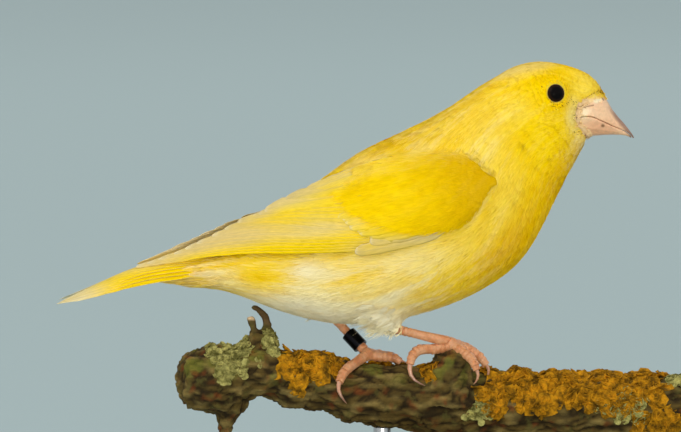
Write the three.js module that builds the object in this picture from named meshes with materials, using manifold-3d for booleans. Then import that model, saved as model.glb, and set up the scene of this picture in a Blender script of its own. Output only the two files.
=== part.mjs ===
// A life-size canary that stands on a cut length of branch, held by a small display stand.
// Millimetres, +Z up. The bird faces +X, its right side towards -Y. The origin is the centre
// of the base's underside.

import * as THREE from "three";
import { mergeVertices } from "three/addons/utils/BufferGeometryUtils.js";
import Module from "manifold-3d";

const wasm = await Module();
wasm.setup();

const GAP = 0.3; // clearance between neighbouring pieces
const RIGHT = -1; // the bird's right side lies towards -Y
const LEFT = 1;

// Shared helpers: points, closed meshes and solids

const at = (x, z, y = 0) => new THREE.Vector3(x, y, z);
const flat = ([x, z]) => new THREE.Vector2(x, z);
const { lerp, clamp, smoothstep } = THREE.MathUtils;
const steps = (n) => Array.from({ length: n + 1 }, (_, i) => i / n);
const middleOf = (ring) => ring.reduce((sum, p) => sum.add(p), at(0, 0)).divideScalar(ring.length);

// A closed mesh becomes a solid, turned so that its faces point out.
function solid(points, triangles) {
  const spread = new Float32Array(points.flatMap((p) => [p.x, p.y, p.z]));
  const geometry = new THREE.BufferGeometry();
  geometry.setAttribute("position", new THREE.BufferAttribute(spread, 3));
  geometry.setIndex(triangles.flat());
  return solidOf(geometry);
}

function solidOf(geometry) {
  const bare = geometry.clone();
  bare.deleteAttribute("normal");
  bare.deleteAttribute("uv");
  const merged = mergeVertices(bare, 1e-4);
  const position = merged.attributes.position;
  const index = new Uint32Array(merged.index.array);
  const corner = (i) => new THREE.Vector3().fromBufferAttribute(position, index[i]);
  let volume = 0;
  for (let i = 0; i < index.length; i += 3) {
    volume += corner(i).dot(corner(i + 1).cross(corner(i + 2)));
  }
  if (volume < 0) index.reverse();
  const mesh = new wasm.Mesh({ numProp: 3, vertProperties: position.array, triVerts: index });
  return new wasm.Manifold(mesh);
}

// A closed skin over rings of points, with a fan over each end.
function loft(rings) {
  const around = rings[0].length;
  const last = rings.length - 1;
  const points = [...rings.flat(), middleOf(rings[0]), middleOf(rings[last])];
  const triangles = [];
  for (let j = 0; j < around; j++) {
    const k = (j + 1) % around;
    for (let i = 0; i < last; i++) {
      const [a, b, c, d] = [i * around + j, i * around + k, (i + 1) * around + k, (i + 1) * around + j];
      triangles.push([a, b, c], [a, c, d]);
    }
    triangles.push([points.length - 2, k, j]);
    triangles.push([points.length - 1, last * around + j, last * around + k]);
  }
  return solid(points, triangles);
}

// A round bar along a smooth path, its radii given from one end to the other.
function bar(path, radii, { sides = 10, along = 10, flatten = 1 } = {}) {
  const curve = new THREE.CatmullRomCurve3(path);
  const frames = curve.computeFrenetFrames(along);
  const sizes = new THREE.SplineCurve(radii.map((r, i) => new THREE.Vector2(i, r)));
  return loft(
    steps(along).map((u, i) => {
      const centre = curve.getPointAt(u);
      const radius = Math.max(sizes.getPoint(u).y, 0.05);
      return steps(sides - 1).map((_, j) => {
        const turn = (2 * Math.PI * j) / sides;
        return centre
          .clone()
          .addScaledVector(frames.normals[i], radius * Math.cos(turn))
          .addScaledVector(frames.binormals[i], radius * flatten * Math.sin(turn));
      });
    }),
  );
}

// A thin plate: place(u, v) gives the point on its outer face and the way into its thickness,
// u from root to tip and v across. Both faces are split alike.
function plate(lengthwise, across, place) {
  const columns = across + 1;
  const spots = steps(lengthwise).flatMap((u) => steps(across).map((v) => place(u, v)));
  const points = [...spots.map((s) => s.outer), ...spots.map((s) => s.inner)];
  const inner = spots.length;
  const triangles = [];
  for (let i = 0; i < lengthwise; i++) {
    for (let j = 0; j < across; j++) {
      const a = i * columns + j;
      const [b, c, d] = [a + 1, a + columns + 1, a + columns];
      triangles.push([a, b, c], [a, c, d]);
      triangles.push([a + inner, c + inner, b + inner], [a + inner, d + inner, c + inner]);
    }
  }
  const rim = [];
  for (let j = 0; j < across; j++) rim.push(j);
  for (let i = 0; i < lengthwise; i++) rim.push(i * columns + across);
  for (let j = across; j > 0; j--) rim.push(lengthwise * columns + j);
  for (let i = lengthwise; i > 0; i--) rim.push(i * columns);
  rim.forEach((a, n) => {
    const b = rim[(n + 1) % rim.length];
    triangles.push([b, a, a + inner], [b, a + inner, b + inner]);
  });
  return solid(points, triangles);
}

const join = (pieces) => pieces.reduce((whole, piece) => whole.add(piece));
const largest = (body) => body.decompose().reduce((a, b) => (a.volume() > b.volume() ? a : b));
const nearestTo = (x, bodies) =>
  bodies.reduce((a, b) => (Math.abs(middleX(a) - x) < Math.abs(middleX(b) - x) ? a : b));

const topOf = (body) => body.boundingBox().max[2];

function middleX(body) {
  const box = body.boundingBox();
  return (box.min[0] + box.max[0]) / 2;
}

// A slab of the clearance's thickness along a line in the side view, right across the bird.
function slab(from, to, thickness = GAP) {
  const [a, b] = [flat(from), flat(to)];
  const reach = 8;
  const run = b.clone().sub(a);
  const box = new THREE.BoxGeometry(run.length() + reach, 90, thickness);
  box.rotateY(-run.angle());
  box.translate((a.x + b.x) / 2, 0, (a.y + b.y) / 2);
  return solidOf(box);
}

// Body: head, neck and torso as one skin, out to the tips of the plumage

// Each station is a section from a point on the back outline to one on the under outline, with
// its half width and how far down from the top it is widest.
const BODY = [
  { top: [37.1, 98.8], under: [34.0, 90.6], half: 1.5, wide: 0.5 },
  { top: [36.2, 101.0], under: [32.7, 88.2], half: 2.7, wide: 0.46 },
  { top: [34.0, 103.5], under: [31.2, 85.4], half: 3.6, wide: 0.4 },
  { top: [31.0, 105.0], under: [29.9, 82.7], half: 4.3, wide: 0.36 },
  { top: [27.0, 106.2], under: [28.6, 80.1], half: 6.8, wide: 0.34 },
  { top: [21.5, 106.8], under: [27.0, 77.4], half: 8.3, wide: 0.34 },
  { top: [15.6, 105.3], under: [25.4, 74.2], half: 8.9, wide: 0.38 },
  { top: [9.0, 101.3], under: [23.8, 70.9], half: 10.2, wide: 0.43 },
  { top: [0.0, 95.3], under: [20.2, 64.3], half: 13.0, wide: 0.54 },
  { top: [-8.5, 91.0], under: [14.9, 58.6], half: 15.2, wide: 0.6 },
  { top: [-18.2, 86.3], under: [4.6, 52.7], half: 16.2, wide: 0.62 },
  { top: [-27.6, 79.6], under: [-8.8, 48.6], half: 15.5, wide: 0.62 },
  { top: [-35.0, 73.9], under: [-22.9, 47.4], half: 13.2, wide: 0.6 },
  { top: [-42.4, 68.9], under: [-35.6, 50.2], half: 9.8, wide: 0.54 },
  { top: [-49.6, 63.9], under: [-46.0, 54.2], half: 6.6, wide: 0.5 },
  { top: [-57.0, 60.6], under: [-54.6, 56.4], half: 3.2, wide: 0.5 },
];
const BODY_RINGS = 36;
const BODY_SIDES = 22;
const BODY_FULLNESS = 2.15; // exponent of each section's superellipse

const backLine = new THREE.SplineCurve(BODY.map((s) => flat(s.top)));
const underLine = new THREE.SplineCurve(BODY.map((s) => flat(s.under)));
const girth = new THREE.SplineCurve(BODY.map((s) => flat([s.half, s.wide])));

function bodySkin(grow = 0) {
  return loft(
    steps(BODY_RINGS).map((u) => {
      const [top, under, { x: half, y: wide }] = [backLine, underLine, girth].map((c) => c.getPoint(u));
      const height = top.distanceTo(under);
      const up = top.clone().sub(under).normalize();
      const heart = top.clone().lerp(under, wide);
      return steps(BODY_SIDES - 1).map((_, j) => {
        const turn = (2 * Math.PI * j) / BODY_SIDES;
        const round = (value) => Math.sign(value) * Math.abs(value) ** (2 / BODY_FULLNESS);
        const reach = (Math.cos(turn) > 0 ? wide : 1 - wide) * height + grow;
        const rise = round(Math.cos(turn)) * reach;
        return at(heart.x + up.x * rise, heart.y + up.y * rise, round(Math.sin(turn)) * (half + grow));
      });
    }),
  );
}

const HEAD_CUT = { nape: [12.2, 104.8], throat: [29.4, 78.4] };
const NECK_CUT = { nape: [2.4, 98.2], throat: [22.9, 67.6] };

const wholeBody = bodySkin();
const grownBody = bodySkin(GAP);

// Eyes: balls set in the head so that the lids show only the middle of each

const EYE = { x: 25.2, z: 99.6, ball: 2.6, shown: 1.95, depth: 5.2, forward: 17, up: 6 };
const LID = { ring: 2.2, roll: 0.4 };

// Turns and moves a shape made round +Z to look out of the eye on one side.
function facingOut(geometry, side) {
  geometry.rotateX((-side * Math.PI) / 2 + side * THREE.MathUtils.degToRad(EYE.up));
  geometry.rotateZ(-side * THREE.MathUtils.degToRad(EYE.forward));
  geometry.translate(EYE.x, side * EYE.depth, EYE.z);
  return geometry;
}

function eyeBall(side, grow = 0) {
  return solidOf(facingOut(new THREE.SphereGeometry(EYE.ball + grow, 14, 9), side));
}

function lidRing(side) {
  const lid = new THREE.TorusGeometry(LID.ring, LID.roll, 5, 16);
  lid.translate(0, 0, Math.sqrt(EYE.ball ** 2 - EYE.shown ** 2) + 0.1);
  return solidOf(facingOut(lid, side));
}

// Bill: one cone-like form, parted along the mouth line, with a nostril on each side

const BILL = [
  { top: [30.4, 98.4], under: [27.5, 92.6], half: 2.6 },
  { top: [32.6, 99.8], under: [29.2, 90.9], half: 3.75 },
  { top: [35.5, 100.0], under: [32.0, 90.0], half: 3.85 },
  { top: [37.3, 97.9], under: [34.8, 90.0], half: 3.3 },
  { top: [38.9, 95.3], under: [37.3, 90.2], half: 2.5 },
  { top: [41.0, 92.9], under: [40.2, 90.2], half: 1.45 },
  { top: [42.6, 90.9], under: [42.2, 89.9], half: 0.75 },
  { top: [43.5, 89.5], under: [43.2, 89.2], half: 0.2 },
];
const MOUTH = [
  [26.0, 94.1],
  [30.3, 94.1],
  [33.4, 94.4],
  [35.4, 93.7],
  [38.4, 92.3],
  [41.6, 90.9],
  [42.9, 89.9],
  [43.5, 88.6],
];
const NOSTRIL = { x: 35.9, z: 97.6, y: 2.9, long: 0.75, high: 0.5, deep: 0.9 };

function billForm(grow = 0) {
  const culmen = new THREE.SplineCurve(BILL.map((s) => flat(s.top)));
  const gonys = new THREE.SplineCurve(BILL.map((s) => flat(s.under)));
  const spread = new THREE.SplineCurve(BILL.map((s, i) => flat([i, s.half])));
  const sides = 14;
  return loft(
    steps(11).map((u) => {
      const [top, under] = [culmen.getPoint(u), gonys.getPoint(u)];
      const half = spread.getPoint(u).y;
      return steps(sides - 1).map((_, j) => {
        const turn = (2 * Math.PI * j) / sides;
        // The ridge above is keeled and the chin side is round.
        const keel = Math.cos(turn) > 0 ? 1.25 : 1;
        const share = 0.5 - 0.5 * Math.cos(turn);
        const point = top.clone().lerp(under, share);
        const off = top.clone().sub(under).normalize().multiplyScalar(grow * Math.cos(turn));
        const y = Math.sign(Math.sin(turn)) * Math.abs(Math.sin(turn)) ** keel * (half + grow);
        return at(point.x + off.x, point.y + off.y, y);
      });
    }),
  );
}

// The mouth's gap, a thin bent plate right across the bill.
function mouthGap() {
  const line = new THREE.SplineCurve(MOUTH.map(flat));
  const width = 12; // more than the bill's
  return plate(14, 1, (u, v) => {
    const point = line.getPoint(u);
    const way = line.getTangent(u);
    const half = new THREE.Vector2(-way.y, way.x).multiplyScalar(GAP / 2);
    const y = (v - 0.5) * width;
    const [above, below] = [point.clone().add(half), point.clone().sub(half)];
    return { outer: at(above.x, above.y, y), inner: at(below.x, below.y, y) };
  });
}

function nostril(side) {
  const pit = new THREE.SphereGeometry(1, 8, 6);
  pit.scale(NOSTRIL.long, NOSTRIL.deep, NOSTRIL.high);
  pit.translate(NOSTRIL.x, side * NOSTRIL.y, NOSTRIL.z);
  return solidOf(pit);
}

// Wings: a folded wing is a bent sheet on the body's side that carries its feathers

// Edges of the right wing's sheet from the bend to the tip, as x, z and the distance out.
const WING_LOW = [
  [12.8, 78.6, 11.6],
  [7.4, 73.0, 14.2],
  [-1.6, 67.4, 15.9],
  [-16.5, 64.1, 16.1],
  [-28.0, 62.9, 14.3],
  [-39.0, 62.0, 11.0],
  [-49.0, 61.3, 7.6],
  [-58.5, 60.6, 4.8],
  [-67.6, 60.0, 2.6],
];
const WING_HIGH = [
  [11.4, 82.2, 11.2],
  [5.6, 86.3, 10.6],
  [-5.0, 86.4, 9.6],
  [-16.0, 83.3, 7.6],
  [-25.5, 79.2, 5.4],
  [-35.0, 75.9, 3.8],
  [-45.0, 71.9, 2.7],
  [-56.5, 66.9, 1.9],
  [-67.4, 61.6, 1.5],
];
const WING_BULGE = [0.9, 2.2, 3.2, 3.4, 2.9, 2.0, 1.2, 0.6, 0.2];
const LEFT_WING_RISE = 1.2; // the left wing's tip lies this much higher on the tail

const lowEdge = new THREE.CatmullRomCurve3(WING_LOW.map((p) => at(...p)));
const highEdge = new THREE.CatmullRomCurve3(WING_HIGH.map((p) => at(...p)));
const bulge = new THREE.SplineCurve(WING_BULGE.map((b, i) => flat([i, b])));

function onSheet(s, t, rise = 0) {
  const spot = (a, b) => {
    const along = clamp(a, 0, 1);
    const point = lowEdge.getPoint(along).lerp(highEdge.getPoint(along), b);
    point.y += bulge.getPoint(along).y * 4 * b * (1 - b);
    return point;
  };
  const small = 0.01;
  const back = Math.min(s, 1 - small);
  const lengthwise = spot(back + small, t).sub(spot(back, t));
  const across = spot(back, t + small).sub(spot(back, t - small));
  const out = lengthwise.cross(across).normalize();
  if (out.y < 0) out.negate();
  return { point: spot(s, t).addScaledVector(out, rise), out, width: across.length() / (2 * small) };
}

function toSide(point, side, s) {
  const lift = side === LEFT ? LEFT_WING_RISE * smoothstep(s, 0.3, 1) : 0;
  return new THREE.Vector3(point.x, side * point.y, point.z + lift);
}

// A feather on the sheet: a thin vane from its root to its tip, whose lower edge lies over its
// neighbour below and whose upper edge tucks under the one above.
const VANE = { thick: 0.65, tuck: 0.36, blunt: 0.86 };

function wingFeather(side, { root, tip, half, rise, segments }) {
  return plate(segments, 1, (v, w) => {
    // The steps are closer where the tip rounds off.
    const u = 1 - (1 - v) ** 1.5;
    const s = lerp(root[0], tip[0], u);
    const t = lerp(root[1], tip[1], u);
    const taper = u < VANE.blunt ? 1 : Math.sqrt(1 - ((u - VANE.blunt) / (1 - VANE.blunt)) ** 2);
    const reach = Math.max(half * taper * lerp(0.6, 1, smoothstep(u, 0, 0.5)), 0.16);
    const edge = 2 * w - 1;
    const aside = t + (edge * reach) / onSheet(s, clamp(t, 0, 1)).width;
    // The root is sunk in the arm or under the row above.
    const lie = onSheet(s, aside, rise * smoothstep(u, -0.1, 0.45) - VANE.tuck * edge);
    const inner = lie.point.clone().addScaledVector(lie.out, -VANE.thick * lerp(1, 0.75, u));
    return { outer: toSide(lie.point, side, s), inner: toSide(inner, side, s) };
  });
}

// Rows of feathers, each from the row's lowest feather to its highest by even steps.
const WING_ROWS = {
  primaries: {
    count: 7, segments: 4, half: [0.95, 1.5], rise: [0, 0.5],
    lowest: { root: [0.3, 0.05], tip: [1, 0.42] },
    highest: { root: [0.34, 0.3], tip: [0.75, 0.86] },
  },
  secondaries: {
    count: 4, segments: 4, half: [1.6, 1.8], rise: [0.6, 0.9],
    lowest: { root: [0.3, 0.36], tip: [0.73, 0.82] },
    highest: { root: [0.32, 0.6], tip: [0.64, 0.93] },
  },
  tertials: {
    count: 3, segments: 4, half: [2.4, 2.3], rise: [1.0, 1.35],
    lowest: { root: [0.32, 0.68], tip: [0.68, 0.9] },
    highest: { root: [0.34, 0.93], tip: [0.57, 0.98] },
  },
  greater_coverts: {
    count: 6, segments: 3, half: [1.9, 2.2], rise: [1.1, 1.7],
    lowest: { root: [0.14, 0.24], tip: [0.37, 0.28] },
    highest: { root: [0.26, 0.93], tip: [0.5, 0.96] },
  },
  median_coverts: {
    count: 5, segments: 3, half: [2.2, 2.3], rise: [1.6, 2.1],
    lowest: { root: [0.06, 0.26], tip: [0.26, 0.27] },
    highest: { root: [0.18, 0.9], tip: [0.38, 0.94] },
  },
  primary_coverts: {
    count: 2, segments: 4, half: [1.4, 1.5], rise: [0.7, 0.95],
    lowest: { root: [0.16, 0.1], tip: [0.42, 0.12] },
    highest: { root: [0.16, 0.2], tip: [0.38, 0.22] },
  },
};

function rowOfFeathers(side, { count, segments, half, rise, lowest, highest }) {
  const between = (a, b, f) => a.map((value, i) => lerp(value, b[i], f));
  return steps(count - 1).map((f) =>
    wingFeather(side, {
      root: between(lowest.root, highest.root, f),
      tip: between(lowest.tip, highest.tip, f),
      half: lerp(...half, f),
      rise: lerp(...rise, f),
      segments,
    }),
  );
}

// The arm with its small coverts, a pad that thins out towards the flight feathers.
const ARM = { end: 0.4, low: 0.03, high: 0.97, edge: 0.4, crown: 1.3, slope: 1.9, deep: 3 };

function wingArm(side) {
  return plate(6, 4, (u, v) => {
    const s = lerp(0, ARM.end, u);
    const t = lerp(ARM.low, ARM.high, v);
    const crown = Math.sqrt(Math.max(1 - (2 * v - 1) ** 6, 0));
    const swell = lerp(ARM.edge, ARM.crown, crown) * smoothstep(u, -0.25, 0.2);
    const rise = swell - ARM.slope * smoothstep(u, 0.5, 1);
    const lie = onSheet(s, t, rise);
    const inner = lie.point.clone().addScaledVector(lie.out, -(ARM.deep + rise));
    return { outer: toSide(lie.point, side, s), inner: toSide(inner, side, s) };
  });
}

function wing(side) {
  const feathers = Object.values(WING_ROWS).flatMap((row) => rowOfFeathers(side, row));
  return largest(join([wingArm(side), ...feathers]).subtract(grownBody));
}

// Tail: twelve feathers in a shallow arch, the middle pair uppermost and shorter

const TAIL = {
  pairs: 6,
  middle: { root: at(-43.5, 63.0, 0.9), knee: at(-64.0, 60.0, 1.3), tip: at(-82.4, 54.6, 1.7) },
  outer: { root: at(-45.0, 60.2, 3.4), knee: at(-64.0, 57.3, 4.6), tip: at(-86.0, 52.1, 5.9) },
  half: 2.1,
  thick: 0.6,
  blunt: 0.84,
  lean: [0.09, 0.34], // fall of a vane towards its outer edge, from the middle pair to the outer
};

function tailFeather(side, rank) {
  const f = rank / (TAIL.pairs - 1);
  const spot = (name) => {
    const point = TAIL.middle[name].clone().lerp(TAIL.outer[name], f);
    point.z = lerp(TAIL.middle[name].z, TAIL.outer[name].z, f ** 1.4);
    return point;
  };
  const shaft = new THREE.CatmullRomCurve3([spot("root"), spot("knee"), spot("tip")]);
  return plate(6, 1, (v, w) => {
    const u = 1 - (1 - v) ** 1.4;
    const centre = shaft.getPointAt(u);
    const taper = Math.sqrt(1 - Math.max((u - TAIL.blunt) / (1 - TAIL.blunt), 0) ** 2);
    const edge = 2 * w - 1;
    const reach = Math.max(TAIL.half * taper * lerp(0.6, 1, smoothstep(u, 0, 0.6)), 0.2);
    const high = centre.z - edge * reach * lerp(...TAIL.lean, f);
    const y = side * (centre.y + edge * reach);
    return { outer: at(centre.x, high, y), inner: at(centre.x, high - TAIL.thick, y) };
  });
}

function tail() {
  const ranks = steps(TAIL.pairs - 1).map((_, rank) => rank);
  const feathers = ranks.flatMap((rank) => [tailFeather(RIGHT, rank), tailFeather(LEFT, rank)]);
  return largest(join(feathers).subtract(grownBody));
}

// Branch: a bent, knobbed length of wood with stubs of twigs

const BRANCH = [
  { x: -58.9, z: 35.2, radius: 3.2 },
  { x: -57.6, z: 35.2, radius: 5.6 },
  { x: -53.4, z: 34.9, radius: 7.6 },
  { x: -48.4, z: 34.6, radius: 7.7 },
  { x: -40.2, z: 36.8, radius: 5.8 },
  { x: -33.5, z: 34.4, radius: 6.6 },
  { x: -26.5, z: 34.1, radius: 6.0 },
  { x: -19.8, z: 31.8, radius: 6.9 },
  { x: -9.0, z: 30.9, radius: 7.3 },
  { x: 2.2, z: 29.5, radius: 7.6 },
  { x: 24.7, z: 28.4, radius: 7.7 },
  { x: 44.0, z: 27.8, radius: 8.0 },
  { x: 56.4, z: 27.4, radius: 7.9 },
];
const BARK = { rings: 28, sides: 13, swell: 0.35 };

function branchForm(grow = 0) {
  const line = new THREE.CatmullRomCurve3(BRANCH.map((s) => at(s.x, s.z)));
  const sizes = new THREE.SplineCurve(BRANCH.map((s, i) => flat([i, s.radius])));
  return loft(
    steps(BARK.rings).map((u) => {
      const centre = line.getPoint(u);
      const radius = sizes.getPoint(u).y;
      return steps(BARK.sides - 1).map((_, j) => {
        const turn = (2 * Math.PI * j) / BARK.sides;
        const ridges = Math.sin(3 * turn + 17 * u) * Math.sin(41 * u + turn);
        const knots = 0.6 * Math.sin(5 * turn - 73 * u);
        const reach = radius + BARK.swell * (ridges + knots) + grow;
        return at(centre.x, centre.z + reach * Math.cos(turn), reach * Math.sin(turn));
      });
    }),
  );
}

// Stubs that grow from the branch, each a path and its radii.
const STUBS = {
  foot_knob: {
    path: [at(2.4, 30.0, -2.0), at(2.4, 36.0, -2.6), at(2.5, 39.2, -3.0), at(2.5, 41.3, -3.2)],
    radii: [8.0, 6.8, 5.3, 3.7],
  },
  twig_mound: {
    path: [at(-41.2, 36.0), at(-40.4, 42.6, -0.6), at(-39.8, 45.8, -0.8)],
    radii: [7.4, 5.2, 2.8],
  },
  cut_twig: {
    path: [at(-41.6, 43.5, -1.2), at(-42.1, 46.6, -1.4), at(-42.7, 49.3, -1.5)],
    radii: [1.4, 1.1, 1.05],
  },
  bent_twig: {
    path: [at(-38.7, 43.5), at(-38.9, 47.4, 0.3), at(-39.7, 49.7, 0.5), at(-42.4, 51.4, 0.8)],
    radii: [1.9, 1.1, 0.95, 0.7],
  },
  low_twig: { path: [at(-47.2, 34.0), at(-48.0, 27.6, 0.4), at(-48.8, 21.4, 0.8)], radii: [6.8, 3.4, 1.1] },
};

function branch(grow = 0) {
  const stubs = Object.values(STUBS).map(({ path, radii }) =>
    bar(path, radii.map((r) => r + grow), { sides: 9, along: 5 }),
  );
  return join([branchForm(grow), ...stubs]);
}

const grownBranch = branch(GAP);

// Legs: feathered thighs, bare shanks, and feet whose claws grip the branch

const LEGS = {
  right: {
    thigh: {
      path: [at(-16.0, 58.5, -6.0), at(-12.4, 51.0, -7.6), at(-9.2, 46.2, -7.2)],
      radii: [5.2, 4.6, 1.9],
    },
    shank: [at(-13.2, 47.8, -8.0), at(-6.5, 46.0, -6.5), at(1.8, 43.8, -4.2)],
    foot: at(2.4, 43.3, -3.8),
    toes: {
      hind: {
        path: [
          at(2.2, 43.0, -3.9),
          at(-1.4, 42.2, -4.8),
          at(-4.5, 42.2, -5.9),
          at(-6.2, 41.0, -6.7),
          at(-6.8, 39.1, -7.1),
        ],
        claw: [at(-6.8, 39.3, -7.1), at(-6.8, 37.0, -7.5), at(-5.7, 35.4, -7.6), at(-3.4, 34.2, -7.6)],
      },
      inner: {
        path: [at(2.4, 43.2, -3.6), at(5.0, 42.6, -1.9), at(7.4, 41.3, -0.6), at(8.9, 39.6, 0.2)],
        claw: [at(8.8, 39.8, 0.2), at(9.6, 38.5, 0.4), at(9.7, 37.1, 0.5), at(9.2, 36.2, 0.4)],
      },
      middle: {
        path: [at(2.4, 43.3, -3.8), at(6.0, 42.0, -3.4), at(8.7, 40.4, -3.1), at(10.3, 38.6, -2.9)],
        claw: [at(10.2, 38.8, -2.9), at(10.9, 37.4, -2.8), at(10.7, 36.1, -2.8), at(10.0, 35.2, -2.8)],
      },
      outer: {
        path: [at(2.3, 43.2, -4.0), at(4.9, 41.9, -5.8), at(7.1, 39.9, -7.2), at(8.1, 37.9, -7.8)],
        claw: [at(8.0, 38.1, -7.8), at(8.4, 36.7, -8.0), at(8.1, 35.4, -8.0), at(7.3, 34.5, -7.8)],
      },
    },
  },
  left: {
    thigh: {
      path: [at(-29.5, 57.5, 5.6), at(-26.8, 52.4, 6.2), at(-24.2, 48.4, 5.6)],
      radii: [5.2, 4.4, 1.8],
    },
    shank: [at(-26.4, 50.6, 6.8), at(-22.4, 46.8, 4.6), at(-16.5, 40.8, 1.5)],
    foot: at(-16.3, 40.5, 1.2),
    toes: {
      hind: {
        path: [at(-16.4, 40.4, 1.0), at(-18.9, 38.9, -2.0), at(-21.4, 37.3, -5.3), at(-22.6, 35.1, -7.2)],
        claw: [at(-22.5, 35.4, -7.0), at(-22.9, 33.8, -7.9), at(-22.3, 32.0, -8.3), at(-21.0, 30.2, -8.1)],
      },
      inner: {
        path: [at(-16.2, 40.4, 1.1), at(-13.4, 39.9, 1.2), at(-10.7, 39.8, 1.2), at(-9.0, 38.9, 1.2)],
        claw: [at(-9.1, 39.1, 1.2), at(-8.3, 38.8, 1.2), at(-7.5, 38.5, 1.3)],
      },
      middle: {
        path: [at(-16.2, 40.5, 1.3), at(-13.0, 40.0, 3.4), at(-10.2, 39.2, 5.2), at(-8.8, 37.6, 6.5)],
        claw: [at(-8.9, 37.8, 6.4), at(-8.4, 36.5, 7.1), at(-8.4, 35.1, 7.4), at(-9.0, 34.1, 7.3)],
      },
      outer: {
        path: [at(-16.3, 40.4, 1.5), at(-15.0, 39.6, 4.6), at(-13.8, 37.7, 7.1), at(-13.3, 35.4, 8.2)],
        claw: [at(-13.3, 35.6, 8.1), at(-13.4, 34.2, 8.5), at(-13.8, 32.8, 8.4), at(-14.6, 31.9, 7.9)],
      },
    },
  },
};
const SHANK_RADII = [1.1, 0.85, 0.95, 1.15];
const PALM = 1.5;
const TOE_RADII = { hind: [1.2, 1.0, 1.05, 0.8], front: [1.15, 1.0, 0.95, 0.75] };
const CLAW_RADII = [0.64, 0.5, 0.34, 0.12];

// The shank stops just short of the thigh and the foot.
function shank({ shank: path, thigh }) {
  const cover = bar(thigh.path, thigh.radii.map((r) => r + GAP), { sides: 14, along: 8 });
  return largest(bar(path, SHANK_RADII, { sides: 8, along: 5 }).subtract(cover).subtract(grownBody));
}

function footForm({ foot, toes }, grow = 0) {
  const palm = new THREE.SphereGeometry(PALM + grow, 8, 6);
  palm.translate(foot.x, foot.y, foot.z);
  const digits = Object.entries(toes).map(([name, { path }]) => {
    const radii = name === "hind" ? TOE_RADII.hind : TOE_RADII.front;
    return bar(path, radii.map((r) => r + grow), { sides: 7, along: 6 });
  });
  return join([solidOf(palm), ...digits]);
}

function legNodes(name) {
  const leg = LEGS[name];
  const thighForm = bar(leg.thigh.path, leg.thigh.radii, { sides: 14, along: 8 });
  const nodes = {};
  nodes[`thigh_${name}`] = { body: largest(thighForm.subtract(grownBody)), finish: "belly" };
  nodes[`shank_${name}`] = { body: shank(leg).subtract(footForm(leg, GAP)), finish: "leg" };
  nodes[`foot_${name}`] = { body: largest(footForm(leg).subtract(grownBranch)), finish: "leg" };
  for (const [toe, parts] of Object.entries(leg.toes)) {
    const hook = bar(parts.claw, CLAW_RADII, { sides: 6, along: 5, flatten: 0.8 });
    const body = hook.subtract(footForm(leg, GAP)).subtract(grownBranch);
    nodes[`claw_${name}_${toe}`] = { body: largest(body), finish: "claw" };
  }
  nodes[`shank_${name}`].body = largest(nodes[`shank_${name}`].body);
  return nodes;
}

// Leg ring: a closed band that hangs on the left shank

const RING = { centre: at(-19.2, 43.5, 3.0), inner: 1.3, outer: 1.75, height: 4.3 };

function legRing() {
  const profile = [
    [RING.inner, -RING.height / 2],
    [RING.outer, -RING.height / 2],
    [RING.outer, RING.height / 2],
    [RING.inner, RING.height / 2],
    [RING.inner, -RING.height / 2],
  ];
  const band = new THREE.LatheGeometry(profile.map(flat), 20);
  const path = LEGS.left.shank;
  const along = path.at(-1).clone().sub(path.at(-2)).normalize();
  const turn = new THREE.Quaternion().setFromUnitVectors(new THREE.Vector3(0, 1, 0), along);
  band.applyQuaternion(turn);
  band.translate(RING.centre.x, RING.centre.y, RING.centre.z);
  return solidOf(band);
}

// Stand: an oval base and two rods up to the branch

const BASE = { long: 96, wide: 62, thick: 7, round: 1.6, foot: 0.6 };
const ROD = { radius: 2, front: 26, back: -13, top: 30 }; // the top is sunk in the branch

function base() {
  const radius = BASE.wide / 2;
  const arc = steps(3).map((f) => {
    const turn = (f * Math.PI) / 2;
    const inset = BASE.round * (1 - Math.cos(turn));
    return [radius - inset, BASE.thick - BASE.round * (1 - Math.sin(turn))];
  });
  const profile = [[0, 0], [radius - BASE.foot, 0], [radius, BASE.foot], ...arc, [0, BASE.thick]];
  const disc = new THREE.LatheGeometry(profile.map(flat), 32);
  disc.rotateX(Math.PI / 2);
  disc.scale(BASE.long / BASE.wide, 1, 1);
  return solidOf(disc);
}

function rod(x) {
  const bottom = BASE.thick + GAP;
  const pin = new THREE.CylinderGeometry(ROD.radius, ROD.radius, ROD.top - bottom, 16);
  pin.rotateX(Math.PI / 2);
  pin.translate(x, 0, (ROD.top + bottom) / 2);
  return largest(solidOf(pin).subtract(grownBranch));
}

// Assembly: every piece is cut clear of its neighbours and named

const FINISHES = {
  plumage: { color: 0xf0cf1a, roughness: 0.85 },
  belly: { color: 0xf1e7b0, roughness: 0.9 },
  flight: { color: 0xf2dc7a, roughness: 0.7 },
  eye: { color: 0x0d0908, roughness: 0.08 },
  bill: { color: 0xe8b79a, roughness: 0.4 },
  leg: { color: 0xe59a78, roughness: 0.55 },
  claw: { color: 0xcfa58c, roughness: 0.35 },
  ring: { color: 0x141414, roughness: 0.3, metalness: 0.6 },
  bark: { color: 0x6b5a38, roughness: 0.95 },
  base: { color: 0x3a2a1c, roughness: 0.45 },
  rod: { color: 0xb9bcc0, roughness: 0.25, metalness: 1 },
};

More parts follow.
